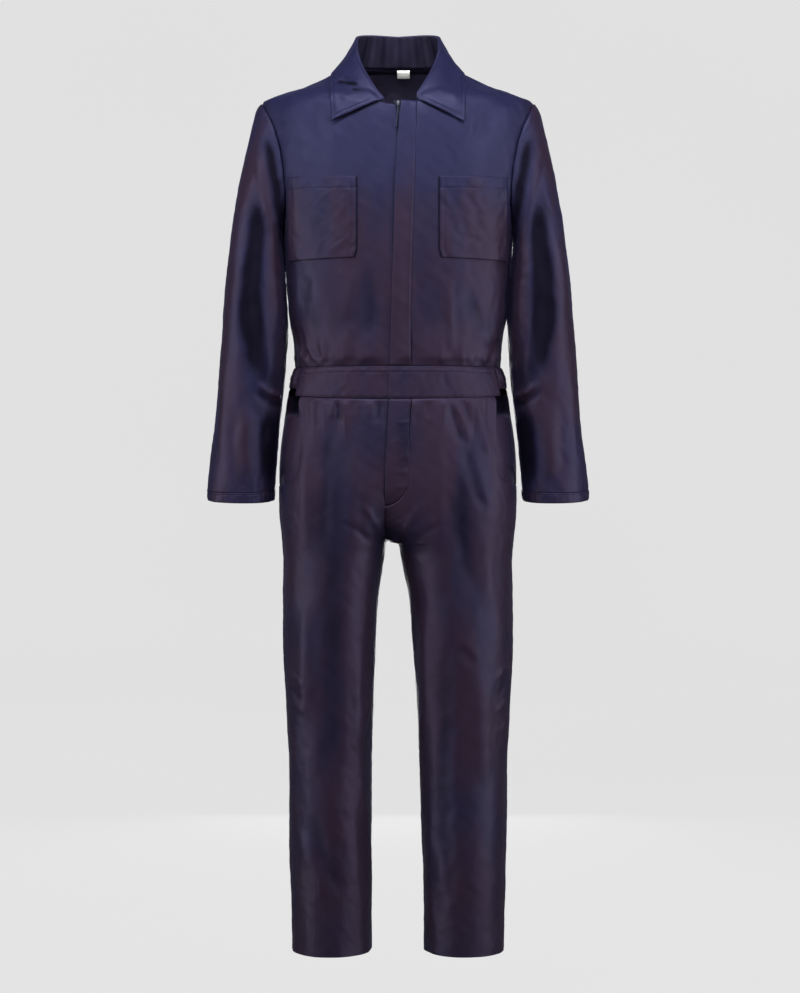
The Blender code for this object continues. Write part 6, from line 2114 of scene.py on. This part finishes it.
# %% Label
def label_finish():
    """Woven satin ribbon, cream, with fine ribs across and a slight fray of tone."""
    made, tree, shader, cloth, body = shader_of("woven_label")
    ribs = woven(tree, cloth, "Y", 900.0, Distortion=0.4)
    pale = mixed(tree, noise(tree, body, 260.0, 2.0), (0.98, 0.95, 0.87), (1.0, 0.98, 0.92))
    bumped(tree, shader, ribs, 0.3, 0.0001)
    fill(tree, shader, Base_Color=mixed(tree, ramp(tree, ribs, 0.3, 0.0), pale, (0.80, 0.76, 0.68)),
         Roughness=0.5, Sheen_Weight=0.2)
    return made


LABEL_FOLD = 0.0026  # the lower end is folded up behind


def label_form(u, v, height):
    x = LABEL_FROM + (LABEL_TO - LABEL_FROM) * u
    z = LABEL_BOTTOM + LABEL_FOLD + (LABEL_TOP - LABEL_BOTTOM - LABEL_FOLD) * v
    turn = math.pi - np.arcsin(unswell(x / read("torso", "half", z), read("torso", "square", z)))
    return raised(torso, turn, z, -CLOTH - 0.0006 - height)


def label_relief(points, u, v, edges):
    return 0.0005 * ease((1 - v) / 0.8) * (0.6 + np.sin(math.pi * u)) + 0.0002 * rumple(points, 53)


LABEL_FINISH = label_finish()
label = lay("cloth_neck_label", label_form, stations(0.022, 0.001), stations(0.014, 0.001), label_relief,
            wall=0.0005)
dress(label, "neck_label", LABEL_FINISH, LABEL_FINISH)


# %% [markdown]
# ## The zip
#
# Behind the flap runs a metal zip: two woven tapes with a tooth clamped to each in turn. Only its top end
# shows, at the base of the V, but it is made down its whole length. A tooth is a small block with its nose
# narrowed, twelve triangles each, as there are some five hundred. The slider and its pull are hard parts
# whose solids have the right shape, so they stay and get a finish of brushed nickel.

# %% Zip finishes
def tape_finish():
    """Woven zip tape: a fine herringbone, darker than the suit."""
    made, tree, shader, cloth, body = shader_of("woven_zip_tape")
    weave = woven(tree, cloth, "DIAGONAL", 420.0, Distortion=0.6)
    colour = mixed(tree, noise(tree, body, 45.0, 2.0), (0.0040, 0.0040, 0.0085), (0.0085, 0.0078, 0.0145))
    bumped(tree, shader, weave, 0.5, 0.00015)
    fill(tree, shader, Base_Color=mixed(tree, ramp(tree, weave, 0.3, 0.05), colour, (0.0020, 0.0020, 0.0040)),
         Roughness=0.75, Specular_IOR_Level=0.08)
    return made


def nickel_finish(name, along, tarnish, dark, light):
    """Black nickel plate, brushed along one axis, duller and darker in scattered spots."""
    made, tree, shader, _, body = shader_of(name)
    brush = noise(tree, body, along, 2.0)
    spots = noise(tree, body, 330.0, 3.0)
    dull = ramp(tree, spots, 0.62 - tarnish, 0.80 - tarnish)
    bumped(tree, shader, brush, 0.25, 0.00005)
    fill(tree, shader, Metallic=1.0, Roughness=ramp(tree, spots, 0.0, 1.0, 0.22, 0.48, "LINEAR"),
         Base_Color=mixed(tree, dull, mixed(tree, brush, dark, light), tuple(0.4 * c for c in dark)))
    return made


TAPE_FINISH = tape_finish()
TEETH_FINISH = nickel_finish("nickel_teeth", (300, 300, 2200), 0.10,
                             (0.018, 0.018, 0.023), (0.034, 0.033, 0.038))
SLIDER_FINISH = nickel_finish("nickel_slider", (2600, 600, 300), 0.03,
                              (0.030, 0.030, 0.034), (0.065, 0.063, 0.068))
PULL_FINISH = nickel_finish("nickel_pull", (2600, 600, 260), 0.0,
                            (0.0045, 0.0050, 0.0090), (0.0085, 0.0090, 0.0150))
for name, finish in (("zip_slider", SLIDER_FINISH), ("zip_pull", PULL_FINISH)):
    for held in frame["nodes"][name].material_slots:
        held.material = finish


# %% Zip tapes
def zip_place(x, z, height):
    """Points behind the flap, on the torso above the waist seam and on the hips below it."""
    x, z, height = np.broadcast_arrays(x, z, height)
    on_hips = legs_raised(1, "front", share_at_x(1, "front", x, z), z, height)
    on_torso = raised(torso, turn_at_x(x, z), z, height)
    return np.where((z < WAIST_BOTTOM)[..., None], on_hips, on_torso)


def zip_sinks(z):
    """How much deeper the zip lies where it runs below the waistband."""
    return 0.0008 * ease((-0.60 - z) / 0.04)


def zip_depth(z):
    """How deep the tapes lie below the body's surface."""
    return CLOTH + 0.0006 + zip_sinks(z)


def tape_form(side):
    """One tape: u runs from its outer edge to the chain."""
    def form(u, v, height):
        edge, middle = fly_edge(v), zip_middle(v)
        outer = edge + (ZIP_TAPE[1] if side > 0 else ZIP_TAPE[0] + np.minimum(read("zip", "offset", v), 0))
        inner = middle + side * 0.0004
        return zip_place(outer + (inner - outer) * u, v, height - zip_depth(v) - 0.0002)

    return form


def tape_relief(points, u, v, edges):
    cord = 0.0003 * bell(edges["last"], 0.0012)
    return cord + 0.0002 * rumple(points, 61)


zip_levels = slope_levels(ZIP_END, ZIP_TOP, 0.0042)
for side, hand in SIDES:
    tape = lay(f"cloth_zip_tape_{hand}", tape_form(side), stations(0.016, 0.0016, (0.016,)), zip_levels,
               tape_relief, wall=0.0006)
    dress(tape, "zip", TAPE_FINISH, TAPE_FINISH)


# %% Zip teeth
TOOTH_PITCH = 0.00125  # metres between two teeth, one on each tape in turn
TOOTH = (0.0027, 0.0013, 0.00085)  # length across, thickness, height
TEETH_TOP = -0.0775  # above the slider the tapes are open


def tooth(bm, at, out, down, side):
    """A clamped tooth whose nose, past the chain's middle, is narrower than its foot."""
    across = out.cross(down).normalized() * -side
    turn = Matrix((across * TOOTH[0], out * TOOTH[1], down * TOOTH[2])).transposed().to_4x4()
    made = bmesh.ops.create_cube(bm, size=1.0)["verts"]
    nose = [v for v in made if v.co.x > 0]
    bmesh.ops.scale(bm, verts=nose, vec=Vector((1, 0.8, 0.55)))
    bmesh.ops.transform(bm, verts=made, matrix=Matrix.Translation(at) @ turn)


tooth_levels = np.arange(ZIP_END + 0.006, TEETH_TOP, TOOTH_PITCH)
tooth_sides = np.where(np.arange(tooth_levels.size) % 2, 1.0, -1.0)
tooth_x = zip_middle(tooth_levels) + tooth_sides * 0.0008
tooth_points = zip_place(tooth_x, tooth_levels, -0.0011 - zip_sinks(tooth_levels))
tooth_above = zip_place(tooth_x, tooth_levels, 0.001)
bm = bmesh.new()
for k, level in enumerate(tooth_levels):
    out = Vector(tooth_above[k] - tooth_points[k]).normalized()
    nearby = (max(k - 2, 0), min(k + 2, tooth_levels.size - 1))
    down = Vector(tooth_points[nearby[0]] - tooth_points[nearby[1]]).normalized()
    tooth(bm, Vector(tooth_points[k]), out, down, tooth_sides[k])
zip_teeth = joined("zip_teeth", bm, TEETH_FINISH)
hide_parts("zip")
print(tooth_levels.size, "teeth")


# %% [markdown]
# ## What is sewn onto each piece
#
# A cut piece of cloth has a flat size, and gathers and creases are part of it, because cloth does not
# stretch:
# a gathered piece is cut wider than the seam it is sewn to. Here each piece of cloth is only listed with the
# rows of stitches and the teeth that are sewn onto it.


SEWN_ON = {"cloth_zip_tape_left": ["zip_teeth"]}
for stitches in [o.name for o in bpy.data.objects if o.name.startswith("stitches_")]:
    piece_name = stitches.replace("stitches_", "cloth_").replace("pocket_mouth", "leg_front")
    SEWN_ON.setdefault(piece_name, []).append(stitches)


# %% [markdown]
# ## Studio
#
# A shop photograph of a suit is taken in a white cove, whose floor runs up into its wall in one curve, so no
# edge shows behind the suit. Here the cove goes all the way round, as a viewer may walk round the suit. Its
# paper is evenly lit and does not light the suit itself. Two tall soft boxes stand left and right, so the
# outer edges of the legs and sleeves are lit. A wide one above the front lights the shoulders and the folds'
# upper sides, a small fill and two narrow boxes add to the chest, and two low ones to the trousers. The last
# stands straight behind, level with the hips, where it lights the whole back and nothing that faces the
# front.

# %% Cove
FLOOR = -1.80
COVE_RADIUS = 10.0
COVE_CURVE = 2.0
COVE_TOP = 6.0
ROOM_LIGHT = 0.10
PAPER_LOW, PAPER_HIGH = (0.735, 0.735, 0.735), (0.755, 0.755, 0.755)


def cove():
    """The profile of floor, quarter circle and wall, spun all the way round."""
    turns = np.linspace(0, math.pi / 2, 13)
    curve = [(COVE_RADIUS - COVE_CURVE + COVE_CURVE * math.sin(a), FLOOR + COVE_CURVE * (1 - math.cos(a)))
             for a in turns]
    bm = bmesh.new()
    line = [bm.verts.new((r, 0, z)) for r, z in [(0, FLOOR), *curve, (COVE_RADIUS, COVE_TOP)]]
    edges = [bm.edges.new(pair) for pair in zip(line, line[1:])]
    bmesh.ops.spin(bm, geom=line + edges, cent=(0, 0, 0), axis=(0, 0, 1), angle=2 * math.pi, steps=64,
                   use_merge=True)
    bmesh.ops.remove_doubles(bm, verts=bm.verts, dist=1e-5)
    bmesh.ops.recalc_face_normals(bm, faces=bm.faces)
    mesh = bpy.data.meshes.new("cove")
    bm.to_mesh(mesh)
    bm.free()
    mesh.shade_smooth()
    return in_scene("cove", mesh)


def paper_finish():
    """Seamless backdrop paper, evenly lit, with faint clouds."""
    made, tree, shader, _, body = shader_of("backdrop_paper")
    fill(tree, shader, Emission_Color=mixed(tree, noise(tree, body, 0.6, 1.0), PAPER_LOW, PAPER_HIGH),
         Emission_Strength=1.0, Base_Color=(0.02, 0.02, 0.02, 1), Roughness=0.95, Specular_IOR_Level=0.0)
    return made


backdrop = cove()
backdrop.data.materials.append(paper_finish())
backdrop.visible_diffuse = False
backdrop.visible_glossy = False
backdrop.visible_shadow = False

# %% Lights
LIGHTS = """
name          x      y      z      width  height  power  aim_x  aim_y  aim_z  red   green  spread
left_box     -3.0   -0.9   -0.90   1.0    2.4     94     0.0    0.0   -1.00   1.00  0.97   180
right_box     3.0   -0.9   -0.90   1.0    2.4     94     0.0    0.0   -1.00   1.00  0.97   180
top_box       0.0   -1.5    2.00   2.0    0.6    200     0.0    0.0   -0.20   0.90  0.93   180
fill          0.0   -2.6    0.35   1.0    0.9     27     0.0    0.0   -0.12   0.95  0.96   180
chest_right  -2.0   -1.9    0.75   0.9    0.9      9.4   0.0    0.0   -0.10   0.92  0.95    60
chest_left    2.0   -1.9    0.75   0.9    0.9      9.6   0.0    0.0   -0.10   0.92  0.95    60
low_right    -2.2   -2.2   -1.20   0.8    1.2     23     0.0    0.0   -1.10   1.00  1.00   180
low_left      2.2   -2.2   -1.20   0.8    1.2     46     0.0    0.0   -1.10   1.00  1.00   180
back_box      0.0    3.4   -0.60   1.2    2.2     90     0.0    0.0   -0.75   1.00  1.00   180
"""
lights = read_table(LIGHTS)
for k, name in enumerate(lights["name"]):
    lamp = bpy.data.lights.new(name, "AREA")
    lamp.shape = "RECTANGLE"
    lamp.size, lamp.size_y = float(lights["width"][k]), float(lights["height"][k])
    lamp.energy = float(lights["power"][k])
    lamp.spread = math.radians(float(lights["spread"][k]))
    lamp.color = (float(lights["red"][k]), float(lights["green"][k]), 1.0)
    made = in_scene(name, lamp)
    made.location = [float(lights[axis][k]) for axis in "xyz"]
    aim = Vector([float(lights[f"aim_{axis}"][k]) for axis in "xyz"]) - made.location
    made.rotation_euler = aim.to_track_quat("-Z", "Y").to_euler()
    made.visible_camera = False

world = bpy.data.worlds.new("studio")
world.use_nodes = True
world.node_tree.nodes["Background"].inputs["Color"].default_value = (1, 1, 1, 1)
world.node_tree.nodes["Background"].inputs["Strength"].default_value = ROOM_LIGHT
bpy.context.scene.world = world
bpy.context.scene.view_settings.view_transform = "Standard"
print(len(lights["name"]), "lights")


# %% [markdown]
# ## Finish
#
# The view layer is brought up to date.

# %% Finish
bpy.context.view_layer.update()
